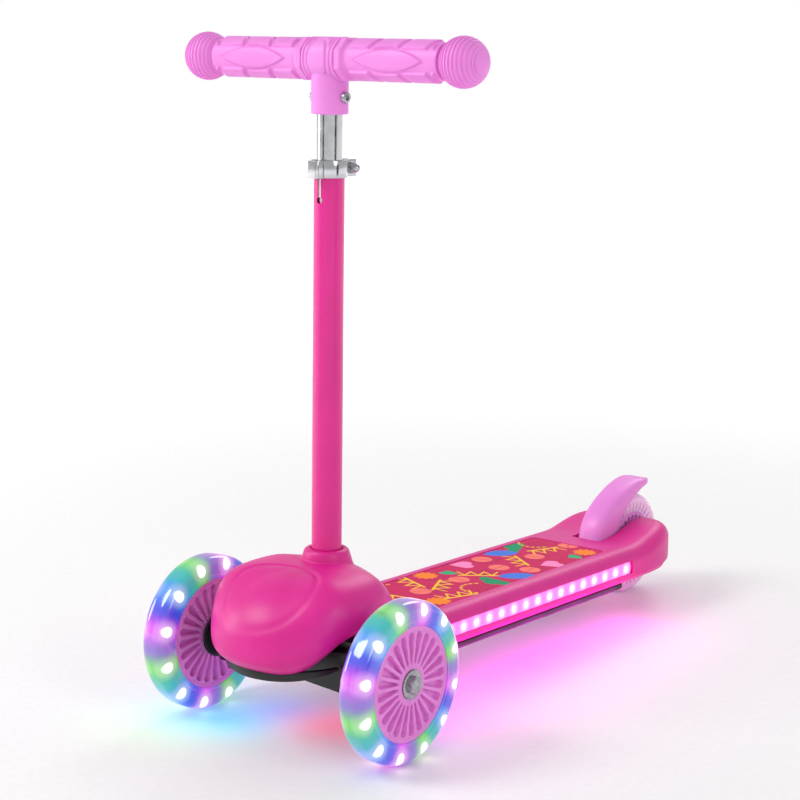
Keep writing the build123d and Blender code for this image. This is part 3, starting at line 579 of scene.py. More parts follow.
def makeDeckShell():
    d = deckShell
    half = shellHalf()
    mirrored = half[-2:0:-1] * np.array([-1, 1, 1])
    shell = addPiece("deckShellMoulding", [(toScooter(np.concatenate([half, mirrored])), True, False)])

    def onSlope(grid):
        # local z is measured from the sloping standing surface
        lifted = grid.copy()
        lifted[..., 2] += deckTopAt(grid[..., 1])
        return toScooter(lifted)

    # one hole for both wheel arches, the rear wheel's slot, the print's recess, and per side a pocket and a
    # window for the light bar
    arch = turned((-90, d["domeCentre"], d["archHeight"]), (1, 0, 0),
                  ((0, 0), (0, d["archRadius"]), (180, d["archRadius"]), (180, 0)), 120)
    cutters = [
        (toScooter(arch), True, False),
        softBox((-d["slotHalfWidth"], d["slotStart"], 0), (d["slotHalfWidth"], d["slotEnd"], 120), 2.5,
                toScooter),
        softBox((-d["panelHalfWidth"], d["panelFront"], -d["panelDepth"]),
                (d["panelHalfWidth"], d["panelRear"], 30), 6, onSlope, 8)]
    highest, lowest = (-drop for drop in lightBar["drop"])
    for side in (-1, 1):
        low, high = sorted((side * d["pocketInner"], side * d["pocketOuter"]))
        cutters.append(softBox((low, d["pocketStart"], 0), (high, d["pocketEnd"], d["pocketTop"]), 4,
                               toScooter))
        low, high = sorted((side * (d["halfWidth"] - 2.4), side * (d["halfWidth"] + 4)))
        cutters.append(softBox((low, lightBar["front"], lowest - 0.1),
                               (high, lightBar["rear"], highest + 0.1), 0.5, onSlope, 2))
    cutAway(shell, addPiece("shellCutter", cutters), 32)
    finishPiece(shell, magentaPolypropylene, "magenta_pp", "deck_shell")
    print("deck shell:", len(shell.data.polygons), "faces")


makeDeckShell()


# ---- stem collar: a boss that flares out of the housing round the tube ----
stemCollar = dict(reach=22, boss=18.4, tip=16.3, top=6.0, bottom=-0.8, mouth=12.6, mouthDepth=1.8, bore=11.4,
                  skirt=12)


def makeCollar():
    # the flare's height goes from the dome to the boss's foot as the 2.6th power of the way in
    c = stemCollar
    angle = np.linspace(0, 2 * pi, 128, endpoint=False)[:, None]
    reach = np.linspace(c["reach"], c["boss"], 16)[None]
    x, y = -reach * np.sin(angle), stemFoot[1] + reach * np.cos(angle)
    base = domeTopAt(x, y - axleY)
    lift = ((c["reach"] - reach) / (c["reach"] - c["boss"]))**2.6
    z = base - 0.4 * (1 - lift) + (stemFoot[2] + c["bottom"] - base) * lift
    flare = np.stack([x, y, z], -1)
    floor = c["top"] - c["mouthDepth"]
    boss = turned(stemFoot, stemAxis, roundedProfile((
        (c["bottom"], c["boss"], 0), (c["top"], c["tip"], 2.8), (c["top"], c["mouth"], 0.8),
        (floor, c["mouth"] - 0.5, 0.5), (floor, c["bore"], 0), (-20, c["bore"], 0))), 128, up=(0, 1, 0))
    under = flare[:, :1] - np.array([0, 0, c["skirt"]])
    collar = addPiece("stemCollar", [(np.concatenate([under, flare, boss], 1), True, True)], 50)
    finishPiece(collar, magentaPolypropylene, "magenta_pp", body="deck")
    print("stem collar made")


makeCollar()


# ---- printed grip panel ----
gripPanel = dict(step=0.5, corner=5.7, gap=0.3, thickness=1.2, ground="#D00F5E", motif=1.42)


def printColours(x, y):
    # a print of big loose shapes: each shape is a distance test, painted in turn over a crimson ground
    # that is dotted in places; x runs across and y towards the tail, in millimetres
    colour = np.empty(x.shape + (3,))
    colour[...] = toLinear(gripPanel["ground"])[:3]

    def paint(mask, shade):
        amount = np.clip(mask, 0, 1)[..., None]
        colour[...] = colour * (1 - amount) + np.array(toLinear(shade)[:3]) * amount

    def inside(distance):
        return np.clip(0.5 - distance / 0.5, 0, 1)

    def around(cx, cy, turn):
        c, s = np.cos(turn), np.sin(turn)
        size = gripPanel["motif"]
        return ((x - cx) * c + (y - cy) * s) / size, (-(x - cx) * s + (y - cy) * c) / size

    def hatch(u, v, pitch):
        return inside(np.abs((u + 0.3 * v) % pitch - pitch / 2) - pitch * 0.2)

    def blueLeaf(u, v):
        shape = inside(np.hypot(u, np.abs(v) + 7) - 13.5)
        paint(shape, "#2F6FE0")
        paint(shape * hatch(u, v, 2.4) * 0.5, "#6FA5F5")

    def greenCloud(u, v):
        lumps = np.minimum(np.hypot(np.abs(u) - 6, v) - 5, np.hypot(u, v - 2.5) - 6)
        shape = inside(np.maximum(lumps, -v - 2.5))
        paint(shape, "#12A06A")
        paint(shape * hatch(v, u, 2.2) * 0.6, "#0B7A55")

    def orangeBurst(u, v):
        turn = np.arctan2(v, u)
        paint(inside(np.hypot(u, v) - 5.6 - 2.2 * np.abs(((turn * 11 / (2 * pi)) % 1) * 2 - 1)), "#FF8A1E")

    def pinkHeart(u, v):
        size = np.hypot(np.abs(u) - 3.2, v - 2.2) - 4.4
        point = np.abs(u) * 0.78 + np.maximum(-v - 0.4, 0) * 0.72 - 5.2
        paint(inside(np.where(v > 0.5, size, np.maximum(point, -v - 8.8))), "#FF8CC8")

    def zigzag(u, v):
        tooth = np.abs(((u + 12) / 8) % 1 * 2 - 1) * 8 - 4
        line = np.minimum(np.abs(v - tooth) * 0.62, np.abs(v + 4.2)) - 0.75
        paint(inside(np.maximum(line, np.abs(u) - 12)), "#FFD21F")

    def coralCircle(u, v):
        paint(inside(np.hypot(u, v) - 6.2), "#FF7D6E")
        paint(inside(np.abs(v) - 0.6) * inside(np.hypot(u, v) - 6.2), "#E85A6E")

    def dashedArc(u, v):
        turn = np.arctan2(v, u)
        ring = np.abs(np.hypot(u, v) - 10.5) - 0.7
        dash = np.abs((turn * 9 / pi) % 1 - 0.5) * 3.6 - 1.15
        paint(inside(np.maximum(np.maximum(ring, dash), -v)), "#FFD21F")

    def greenWedge(u, v):
        paint(inside(np.maximum(np.hypot(u, v) - 8.5, np.maximum(-v, -u))), "#1FB57A")

    dots = np.hypot((x + 1.5 * np.floor(y / 3.2)) % 3.2 - 1.6, y % 3.2 - 1.6) - 0.55
    patches = np.sin(x * 0.13 + 1.1) * np.sin(y * 0.085 + 0.4)
    paint(inside(dots) * smooth(0.25, 0.35, patches), "#2B0D1E")
    shapes = (blueLeaf, zigzag, pinkHeart, greenCloud, orangeBurst, coralCircle, dashedArc, greenWedge)
    across = (-26, 0, 26)
    count = 0
    for row in range(11):
        for column, cx in enumerate(across):
            number = (row * 3 + column * 5 + row * column) % len(shapes)
            cy = -134 + row * 26.5 + (column % 2) * 12
            shapes[number](*around(cx + 2 * np.sin(5.1 * count), cy + 2 * np.cos(3.7 * count), 2.4 * count))
            count += 1
    return colour


def printedVinyl():
    # screen-printed vinyl sheet, glossy over a fine pebble that gives grip
    m = Surface("printed vinyl sheet with pebbled face")
    ink = m.value("ShaderNodeAttribute", "Color", attribute_name="ink")
    pebble = m.value("ShaderNodeTexVoronoi", "Distance", {"Vector": m.place, "Scale": 1 / (1.1 * mm)})
    m.give(Base_Color=ink, Roughness=pebble.span(0, 0.7, 0.45, 0.62), IOR=1.53, Specular_IOR_Level=0.15)
    return m.bump(pebble, 0.03)


def makeGripPanel():
    # the face is a fine grid drawn in to the rounded outline and inked point by point, then thickened
    p, d = gripPanel, deckShell
    halfWidth = d["panelHalfWidth"] - p["gap"]
    halfLength = (d["panelRear"] - d["panelFront"]) / 2 - p["gap"]
    u = np.linspace(-1, 1, int(2 * halfWidth / p["step"]))[:, None]
    v = np.linspace(-1, 1, int(2 * halfLength / p["step"]))[None]
    x, y = u * halfWidth + 0 * v, v * halfLength + 0 * u
    deep = np.maximum(np.abs(y) - (halfLength - p["corner"]), 0)
    reach = halfWidth - p["corner"] + np.sqrt(np.maximum(p["corner"]**2 - deep**2, 0))
    middleY = (d["panelRear"] + d["panelFront"]) / 2
    top = deckTopAt(y + middleY) - d["panelDepth"] + p["thickness"]
    face = np.stack([x * reach / halfWidth, y + middleY, top], -1)
    panel = addPiece("gripPanelSheet", [(toScooter(face), False, False)])
    mesh = panel.data
    spots = np.zeros(len(mesh.vertices) * 3)
    mesh.vertices.foreach_get("co", spots)
    spots = spots.reshape(-1, 3) / mm
    colours = np.ones((len(spots), 4))
    colours[:, :3] = printColours(spots[:, 0], spots[:, 1] - axleY - middleY)
    mesh.color_attributes.new("ink", "FLOAT_COLOR", "POINT").data.foreach_set("color", colours.ravel())
    finishPiece(panel, printedVinyl(), "grip_sheet", "grip_panel")
    body = panel.modifiers.new("thickness", "SOLIDIFY")
    body.thickness = (p["thickness"] - 0.05) * mm
    body.offset = -1
    print("grip panel:", len(mesh.polygons), "faces")


makeGripPanel()


# ---- light bars along the deck's sides ----
sides = ((1, "left"), (-1, "right"))


def squared(value, power):
    # a sine or cosine raised to a power with its sign kept: small powers make a round section boxy
    return np.sign(value) * np.abs(value)**power


def makeLightBars():
    # a bar whose outer face bows out a little: a squared round section carried along the deck
    b = lightBar
    lens = litLens(b)
    turn = np.linspace(0, 2 * pi, 28, endpoint=False)
    height = (b["drop"][1] - b["drop"][0]) / 2 - 0.15
    along = np.linspace(b["front"] + 0.3, b["rear"] - 0.3, 60)
    endShare = np.concatenate([[0], np.ones(len(along) - 2), [0]])
    outward, upward = 1.7 * squared(np.cos(turn), 0.45), height * squared(np.sin(turn), 0.35)
    for side, name in sides:
        x = side * (b["halfWidth"] - 1.6 + outward[:, None] * endShare)
        z = deckTopAt(along)[None] - sum(b["drop"]) / 2 + upward[:, None] * endShare
        grid = np.stack([x, np.broadcast_to(along, x.shape), z], -1)
        bar = addPiece(f"lightBarLens_{name}", [(toScooter(grid), True, False)])
        finishPiece(bar, lens, "lit_lens", f"light_bar_{name}")
    print("light bars made")


makeLightBars()


# ---- wheels ----
frontTyre = dict(radius=60, inner=42.8, halfWidth=11, crown=8.3, ledge=46.2, ledgeDepth=0.5)
rearTyre = dict(radius=46, inner=30, halfWidth=10, crown=7.3, ledge=33.2, ledgeDepth=0.5)
frontHub = dict(radius=42.8, slots=24, slotInner=15.5, slotOuter=38.2, narrow=0.7, wide=3.2, depth=4.2,
                rim=39.4, boss=12.6)
rearHub = dict(radius=30, slots=24, slotInner=13.6, slotOuter=26.4, narrow=0.6, wide=2.3, depth=3.6,
               rim=27.6, boss=12.0)


def tyreProfile(t):
    # closed half-round tread with a small ledge round each side where the mould's insert sat
    half, ledge = t["halfWidth"], t["ledge"]
    seat = half - t["ledgeDepth"]
    right = [(half, t["radius"], t["crown"]), (half, ledge, 0.4), (seat, ledge - 0.6, 0.4),
             (seat, t["inner"], 0)]
    left = [(-x, radius, rounding) for x, radius, rounding in right[::-1]]
    return roundedProfile([(0, t["inner"], 0), *left, *right, (0, t["inner"], 0)], 10)[:-1]


def hubGrid(centre, h):
    # a disc whose faces sink into tapered, round-ended slots: face height is a smooth step of the distance
    # to the nearest slot's outline; bearing seats and the bore close it round the axle
    steps = h["slots"] * 22
    angle = np.linspace(0, 2 * pi, steps, endpoint=False)[:, None]
    radius = np.concatenate([[11, 11.4], np.linspace(h["boss"], h["radius"] - 1, 52),
                             [h["radius"] - 0.35, h["radius"]]])
    cell = (angle / (2 * pi) * h["slots"] + 0.5) % 1 - 0.5
    across = np.abs(cell * 2 * pi / h["slots"] * radius)
    share = np.clip((radius - h["slotInner"]) / (h["slotOuter"] - h["slotInner"]), 0, 1)
    half = h["narrow"] + (h["wide"] - h["narrow"]) * share
    nearest = np.clip(radius, h["slotInner"] + h["narrow"], h["slotOuter"] - h["wide"])
    miss = np.hypot(across, radius - nearest) - half
    face = 10 - h["depth"] * smooth(0.35, -0.45, miss)
    face = face - 0.45 * smooth(0.5, 0, np.abs(radius - h["rim"]) - 0.25) - 0.35 * (radius == radius[-1])
    bore = np.array([[-7, 11.0], [-3, 11.0], [-3, 8.5], [3, 8.5], [3, 11.0], [7, 11.0]])
    along = np.concatenate([face, -face[:, ::-1], np.broadcast_to(bore[:, 0], (steps, 6))], 1)
    reach = np.concatenate([radius, radius[::-1], bore[:, 1]]) + 0 * angle
    return np.array(centre) + np.stack([along, reach * np.cos(angle), reach * np.sin(angle)], -1)


def makeWheel(tyreName, hubName, centre, tyreSizes, hubSizes, material, steps, nodes):
    tyre = addPiece(tyreName, [(turned(centre, (1, 0, 0), tyreProfile(tyreSizes), steps), True, True)])
    finishPiece(tyre, material, "clear_urethane", nodes[0])
    hub = addPiece(hubName, [(hubGrid(centre, hubSizes), True, True)], 50)
    finishPiece(hub, hubPlastic, "light_pink_pp", nodes[1])


for side, name in sides:
    makeWheel(f"frontTyreRing_{name}", f"frontHubDisc_{name}", middle(f"front_tyre_{name}"), frontTyre,
              frontHub, litUrethane(f"clear urethane tyre over lamps, cast, {name}", side, litTyre), 200,
              (f"front_tyre_{name}", f"front_hub_{name}"))
makeWheel("rearTyreRing", "rearHubDisc", rearWheel, rearTyre, rearHub, rearUrethane(), 180,
          ("rear_tyre", "rear_hub"))
print("wheels made")


# ---- fasteners ----
def headFrom(centre, axis, rows):
    # rows of (along, radius, how hexagonal) carried round the axis
    rows = np.array(rows, float)
    return turned(centre, axis, rows[:, :2], 96, rows[:, 2]), True, False


def hexHead(centre, axis, across, height):
    # hexagon head with a domed, chamfered top: the round share grows towards the top
    return headFrom(centre, axis, (
        (0, 0.01, 1), (0, across, 1), (height * 0.72, across, 1), (height * 0.9, across * 0.93, 0.75),
        (height, across * 0.78, 0.1), (height * 1.08, across * 0.5, 0), (height * 1.12, 0.01, 0)))


def socketHead(centre, axis, radius, height, key):
    # cylinder head with a rounded rim and a sunk hexagon for a key
    return headFrom(centre, axis, (
        (0, 0.01, 0), (0, radius, 0), (height * 0.8, radius, 0), (height * 0.95, radius * 0.95, 0),
        (height, radius * 0.84, 0), (height, key * 1.12, 0.4), (height * 0.92, key, 1),
        (height * 0.4, key, 1), (height * 0.36, 0.01, 1)))


def domeNut(centre, axis, radius, height):
    # hexagon skirt under a round dome
    dome = [(height * (0.5 + 0.5 * np.sin(t)), radius * 0.84 * np.cos(t) + 0.005, 0)
            for t in np.linspace(0.05, pi / 2, 9)]
    skirt = [(0, 0.01, 1), (0, radius, 1), (height * 0.42, radius, 1), (height * 0.5, radius * 0.9, 0.3)]
    return headFrom(centre, axis, skirt + dome)


def rodBetween(start, end, radius):
    # plain level shank between two points
    start, end = np.array(start, float), np.array(end, float)
    length = np.linalg.norm(end - start)
    profile = ((0, 0.01), (0, radius), (length, radius), (length, 0.01))
    return turned(start, (end - start) / length, profile, 40), True, False


def makeFasteners():
    for side, name in sides:
        y, z = middle(f"front_tyre_{name}")[1:]
        inner, outer = (box[0] for box in nodeBox(f"axle_bolt_{name}")[::side])
        head = (outer - side * 4.3, y, z)
        bolt = addPiece(f"axleBoltDomed_{name}", [hexHead(head, (side, 0, 0), 7.2, 3.85),
                                                  rodBetween((inner, y, z), head, 3.95)], 30)
        finishPiece(bolt, zinc, "zinc_steel", f"axle_bolt_{name}")
        face = nodeBox(f"axle_washer_{name}")[::side][0][0]
        ring = roundedProfile(((0, 6, 0), (0, 10.8, 0.2), (0.9, 10.8, 0.4), (1.2, 9.4, 0.3), (1.2, 4, 0.1),
                               (0, 4, 0.1), (0, 6, 0)))[:-1]
        washer = addPiece(f"axleWasherRing_{name}",
                          [(turned((face, y, z), (side, 0, 0), ring, 80), True, True)])
        finishPiece(washer, zinc, "zinc_steel", f"axle_washer_{name}")
    low, high = nodeBox("clamp_bolt")
    y, z = middle("clamp_bolt")[1:]
    start = (low[0] + 5, y, z)
    clampBolt = addPiece("clampSocketBolt", [socketHead(start, (-1, 0, 0), 4.2, 5, 2.1),
                                             rodBetween(start, (high[0], y, z), 2.5)], 30)
    finishPiece(clampBolt, zinc, "zinc_steel", "clamp_bolt")
    low, high = nodeBox("clamp_nut")
    y, z = middle("clamp_nut")[1:]
    clampNut = addPiece("clampDomeNut", [domeNut((low[0], y, z), (1, 0, 0), 4.2, high[0] - low[0])], 30)
    finishPiece(clampNut, zinc, "zinc_steel", "clamp_nut")
    low, high = nodeBox("block_bolt")
    y, z = middle("block_bolt")[1:]
    start, end = (low[0] + 4, y, z), (high[0] - 2.8, y, z)
    blockBolt = addPiece("blockSocketBolt", [socketHead(end, (1, 0, 0), 4, 2.8, 2.0),
                                             hexHead(start, (-1, 0, 0), 4, 3.5),
                                             rodBetween(start, end, 2.5)], 30)
    finishPiece(blockBolt, zinc, "zinc_steel", "block_bolt")
    print("fasteners made")


makeFasteners()


# ---- handlebar: grips and centre block ----
grip = dict(start=14.9, flange=20.5, flangeRadius=15.2, flangeCorner=16.45, neck=12.9, body=(25.5, 101.0),
            core=13.1, pad=15.0, gap=3.4, chevron=5.0, ballX=117.9, ballRadius=17.9, ringPitch=10.0,
            ringFrom=31, ringTo=136, ringDepth=1.0, panelCentre=62, panelHalfLength=30, panelHalfHeight=9.0)


def roundBar(x, angle, radius):
    # points round the handlebar's axis: an angle of 0 faces forward, a quarter turn is up along the stem
    forward = np.array([0, -np.cos(stemTilt), np.sin(stemTilt)])
    ray = np.cos(angle)[..., None] * forward + np.sin(angle)[..., None] * stemAxis
    grid = barCentre + radius[..., None] * ray
    grid[..., 0] = np.broadcast_to(x, radius.shape)
    return grid


def gripGrid(side):
    # radius as a function of place along the bar and angle round it: an eight-sided flange, a core with
    # raised pads parted by V gaps above and below, a smooth oval in front and a grooved ball
    g = grip
    x = np.concatenate([np.linspace(g["start"], 103, 240), np.linspace(103, 127, 150)[1:],
                        g["ballX"] + g["ballRadius"] * np.sin(np.linspace(0.5319, pi / 2, 60))[1:]])[:, None]
    angle = np.linspace(0, 2 * pi, 192, endpoint=False)[None]
    fold = (angle + pi / 8) % (pi / 4) - pi / 8
    octagon = np.minimum(g["flangeRadius"] / np.cos(fold), g["flangeCorner"])
    flange = octagon - 1.6 * smooth(g["start"] + 0.8, g["start"], x) - (octagon - g["neck"]) * smooth(
        g["flange"] - 0.6, g["flange"] + 2.2, x)
    front = (angle + pi) % (2 * pi) - pi
    up = np.abs(np.abs(front) - pi / 2)                            # 0 at the top and at the bottom
    length = (g["body"][1] - g["body"][0]) / 3
    spot = (x - g["body"][0] + g["chevron"] * (up / 0.9)) / length
    cellMiss = (0.5 - np.abs(spot % 1 - 0.5)) * length - g["gap"] / 2
    endMiss = np.minimum(x - g["body"][0] - 0.2, g["body"][1] - x - 0.2)
    arcMiss = (0.98 - up) * g["pad"]
    padMiss = np.minimum(np.minimum(cellMiss, endMiss), arcMiss)
    pads = smooth(-0.2, 1.1, padMiss)
    arc = front * g["pad"]
    way = np.minimum(np.abs(x - g["panelCentre"]) / g["panelHalfLength"], 1.3)
    oval = 1 - way**2 - np.abs(arc) / g["panelHalfHeight"]
    panel = smooth(0.0, 0.1, oval)
    moat = smooth(-0.16, -0.06, oval) * smooth(0.04, -0.04, oval)
    rearArc = (np.abs(front) - pi) * g["pad"]
    ribs = 0.25 * smooth(7, 6, np.abs(rearArc)) * (0.5 + 0.5 * np.cos(2 * pi * x / 3.6))
    raised = np.maximum(pads * (1 - smooth(-0.25, -0.15, oval)), panel * 0.62)
    core = g["core"] + (g["pad"] - g["core"]) * raised - 0.45 * moat + ribs
    start, end = g["body"]
    inBody = smooth(start - 2.2, start - 0.2, x) * smooth(end + 2.4, end + 0.4, x)
    shaft = g["neck"] + (core - g["neck"]) * inBody
    body = np.where(x < g["flange"] + 2.2, flange, shaft)
    away = x - g["ballX"]
    ball = np.sqrt(np.maximum(g["ballRadius"]**2 - away**2, 0))
    polar = np.degrees(np.arccos(np.clip(away / g["ballRadius"], -1, 1)))
    first, last = g["ringFrom"], g["ringTo"]
    ringed = smooth(first - 0.5, first + 0.5, polar) * smooth(last + 0.5, last - 0.5, polar)
    wave = np.abs(((polar - g["ringFrom"]) / g["ringPitch"]) % 1 * 2 - 1)
    ball = ball - ringed * g["ringDepth"] * smooth(0.25, 0.85, wave)
    radius = np.where(x > 101, softMax(body - 60 * smooth(103, 106, x), ball, 2.5), body)
    grid = roundBar(side * x, angle, radius * (x < g["ballX"] + g["ballRadius"] - 1e-4))
    seat = grid[:1] * [1, 0, 0] + [0, barCentre[1], barCentre[2]]
    return np.concatenate([seat, grid], 0)


centreBlock = dict(halfWidth=14.6, radius=16.1, round=1.2, padHalfWidth=7.8, padHalfHeight=15.5, padRise=1.0,
                   collarBottom=326, collarRadius=13.5, fluteDepth=0.9)


def makeBlock():
    b = centreBlock
    x = np.linspace(-b["halfWidth"], b["halfWidth"], 120)[:, None]
    angle = np.linspace(0, 2 * pi, 200, endpoint=False)[None]
    front = (angle + pi) % (2 * pi) - pi
    edge = np.maximum(np.abs(x) - b["halfWidth"] + b["round"], 0) / b["round"]
    radius = b["radius"] - b["round"] * (1 - np.sqrt(np.maximum(1 - edge**2, 0)))
    # slightly squared, as the mould's halves meet
    boxy = 0.6 * np.cos(4 * angle)
    arc = front * b["radius"]
    lens = np.hypot(x / b["padHalfWidth"], arc / b["padHalfHeight"])
    padShare = smooth(1.05, 0.93, lens) * (1.1 - 0.3 * lens**2) * 0.9
    radius = radius - np.abs(boxy) * 0.35 + b["padRise"] * padShare
    radius = radius - 0.5 * smooth(1.22, 1.12, lens) * smooth(1.0, 1.07, lens)
    fluteShare = smooth(1.3, 1.45, lens) * smooth(1.35, 1.1, np.abs(front)) * smooth(13.2, 12.2, np.abs(x))
    radius = radius - b["fluteDepth"] * fluteShare * (0.5 - 0.5 * np.cos(2 * pi * np.abs(x) / 2.6))
    fromTop = np.abs(front) - pi / 2
    flat = (b["radius"] - 0.5) / np.maximum(np.cos(fromTop), 0.3)
    radius = np.where((np.abs(fromTop) < 0.35) & (front > 0), np.minimum(radius, flat), radius)
    barrel = roundBar(x, angle, radius)
    ends = [barCentre + np.array([value, 0, 0]) + np.zeros((1, angle.size, 3))
            for value in (x[0, 0], x[-1, 0])]
    barrel = np.concatenate([ends[0], barrel, ends[1]], 0)
    foot = stemFoot + stemAxis * b["collarBottom"]
    collar = turned(foot, stemAxis, roundedProfile((
        (0, 9.7, 0), (0, b["collarRadius"], 1.2), (34, b["collarRadius"] - 0.1, 0), (34, 9.7, 0))), 128)
    block = addPiece("handlebarCentreBlock", [(barrel, False, True), (collar, True, True)], 40)
    finishPiece(block, paleVinyl, "light_pink_pvc", "handlebar_block")
    for side, name in sides:
        piece = addPiece(f"gripSleeve_{name}", [(gripGrid(side), False, True)], 50)
        finishPiece(piece, paleVinyl, "light_pink_pvc", f"grip_{name}")
    print("handlebar made")


makeBlock()


# ---- fender over the rear wheel ----
# the two lines are knots of (distance behind the front axle, height)
fender = dict(halfWidth=13.5, squareness=3.4, wall=2.4, gap=6.8, hinge=(399, 51),
              outer=((393.5, 56), (399, 71), (411, 84.5), (433, 97), (459, 103.6), (477, 104), (487, 101.2)),
              inner=((431, 54), (433, 63), (438, 71), (449, 82.5), (464, 92), (477, 97), (487, 99.6)))


def makeFender():
    # a curved fin: rounded box sections between the outer and the inner line, hollowed over the wheel
    f = fender
    share = np.linspace(0, 1, 90)

    def along(knots):
        # a smooth curve through the knots: a polynomial fit is stiff enough for seven points
        knots = np.array(knots, float)
        knot = np.linspace(0, 1, len(knots))
        return np.stack([np.polyval(np.polyfit(knot, knots[:, k], 5), share) for k in (0, 1)], -1)

    outer, inner = along(f["outer"]), along(f["inner"])
    centre, half = (outer + inner) / 2, (outer - inner) / 2
    turn = np.linspace(0, 2 * pi, 96, endpoint=False)[None]
    width = f["halfWidth"] * (1 - smooth(0.72, 1.0, share)**2 * 0.45)
    power = 2 / f["squareness"]
    x = width[:, None] * squared(np.cos(turn), power)
    lift = squared(np.sin(turn), power)
    y = centre[:, :1] + half[:, :1] * lift
    z = centre[:, 1:] + half[:, 1:] * lift
    grid = np.stack([x, y + axleY, z], -1)
    ends = [np.broadcast_to(grid[k].mean(0), grid[:1].shape) for k in (0, -1)]
    grid = np.concatenate([ends[0], grid, ends[1]], 0)
    hood = addPiece("fenderHood", [(grid, False, True)])
    reach = rearTyre["radius"] + f["gap"]
    inside = f["halfWidth"] - f["wall"]
    pocket = turned((rearWheel[0] - inside, *rearWheel[1:]), (1, 0, 0), roundedProfile((
        (0, 0.01, 0), (0, reach, 3), (2 * inside, reach, 3), (2 * inside, 0.01, 0))), 160)
    cutAway(hood, addPiece("fenderCutter", [(pocket, True, False)]), 40)
    lugProfile = roundedProfile(((0, 2.6, 0), (0, 5, 0.6), (16, 5, 0.6), (16, 2.6, 0)))
    lug = turned((-8, axleY + f["hinge"][0], f["hinge"][1]), (1, 0, 0), lugProfile, 48)
    hinge = addPiece("fenderHingeBarrel", [(lug, True, True)])
    finishPiece(hinge, palePolypropylene, "light_pink_pp", body="brake")
    finishPiece(hood, palePolypropylene, "light_pink_pp", "fender")
    print("fender made")


makeFender()


# ---- nose guard: a thin lip tucked under the housing's rim ----
noseGuard = dict(inset=9, thickness=4, top=65, bottom=57.5, turn=1.25, tipRise=5.5)


def makeNoseGuard():
    # the rim's plan oval drawn in by the inset, swept to each side of the nose; its lower edge lifts at
    # the tips
    g, d = noseGuard, deckShell
    turn = np.linspace(-g["turn"], g["turn"], 90)[:, None]
    section = np.array(((0.12, 1), (0.88, 1), (1, 0.9), (1, 0.15), (0.8, 0), (0.2, 0), (0, 0.15), (0, 0.9)))
    inset = g["inset"] + g["thickness"] * section[None, :, 0]
    x = (d["domeHalfWidth"] - inset) * np.sin(turn)
    y = d["domeCentre"] - (d["domeFront"] - inset) * np.cos(turn)
    bottom = g["bottom"] + g["tipRise"] * np.abs(turn / g["turn"])**3
    z = bottom + (g["top"] - bottom) * section[None, :, 1]
    guard = addPiece("noseGuardLip", [(toScooter(np.stack([x, y, z + 0 * x], -1)), False, True)])
    finishPiece(guard, blackNylon, "black_nylon", "nose_guard")
    print("nose guard made")


makeNoseGuard()


# ---- softened copies of the parts whose CAD shape is right but whose edges are sharp ----
def softenedCopy(node, newName, width, material, slot):
    copy = frame["nodes"][node].data.copy()
    copy.name = newName
    work = bmesh.new()
    work.from_mesh(copy)
    bmesh.ops.remove_doubles(work, verts=work.verts, dist=2e-6)
    bmesh.ops.dissolve_limit(work, angle_limit=radians(1.5), verts=work.verts, edges=work.edges)
    work.to_mesh(copy)
    work.free()
    piece = addObject(newName, copy)
    edge = piece.modifiers.new("softEdge", "BEVEL")
    edge.width = width * mm
    edge.segments = 2
    edge.limit_method = "ANGLE"
    edge.angle_limit = radians(42)
    edge.use_clamp_overlap = True
    useResult(piece, 38)
    return finishPiece(piece, material, slot, node)


softened = {
    "truck_beam": ("truckBeamCasting", 0.9, blackNylon, "black_nylon"),
    "knuckle_left": ("knuckleCasting_left", 0.7, blackNylon, "black_nylon"),
    "knuckle_right": ("knuckleCasting_right", 0.7, blackNylon, "black_nylon"),
    "under_tray": ("underTrayPan", 0.7, blackNylon, "black_nylon"),
    "front_frame": ("frontFrameCasting", 0.7, blackNylon, "black_nylon"),
    "tie_rod": ("tieRodPlate", 0.4, zinc, "zinc_steel"),
    "clamp_band": ("clampBandStrap", 0.5, chrome, "chromed_steel"),
    "fender_hinge_lugs": ("fenderHingeEars", 0.4, magentaPolypropylene, "magenta_pp"),
}
for node, values in softened.items():
    softenedCopy(node, *values)
print("edges softened on", len(softened), "parts")

# the other CAD parts keep their shape and take the finish of their own material
finishes = {
    "magenta_pp": magentaPolypropylene, "black_nylon": blackNylon, "light_pink_pvc": paleVinyl,
    "light_pink_pp": palePolypropylene, "painted_tube": powderCoat, "chromed_steel": chrome,
    "zinc_steel": zinc, "circuit": circuitBoard, "battery_film": batteryFilm, "urethane_buffer": greyUrethane,
    "white_acetal": whiteAcetal, "magnet": ferrite, "lit_lens": circuitBoard, "clear_urethane": whiteAcetal,
    "grip_sheet": magentaPolypropylene,
}
for part in frame["record"]["subparts"]:
    node = frame["nodes"].get(part.get("node") or part.get("name"))
    if node is None or node.hide_render:
        continue
    node.data.materials.clear()
    node.data.materials.append(finishes[part["material_slot"]])
print("other CAD parts dressed")


# ---- floor, light and camera ----
studio = dict(floorRadius=9, world=0.62, paintedPoolGlow=0.6, lens=89.1, azimuth=37.75, elevation=11.59,
              camera=(0.91547, -1.06025 + axleY * mm, 0.53963))

# painted pools of light: colour and glow put into the floor's paint where the lamps' light would fall: place,
# reach across and along, colour, strength
paintedLightPools = (
    ((-80, -275), (60, 45), "#C9F2A8", 0.35), ((-62, -232), (62, 42), "#3FD8F4", 0.75),
    ((-40, -190), (40, 38), "#5C8CFF", 0.6), ((14, -190), (42, 48), "#FF4A66", 0.7),
    ((40, 20), (75, 150), "#F77CF0", 0.7),
)


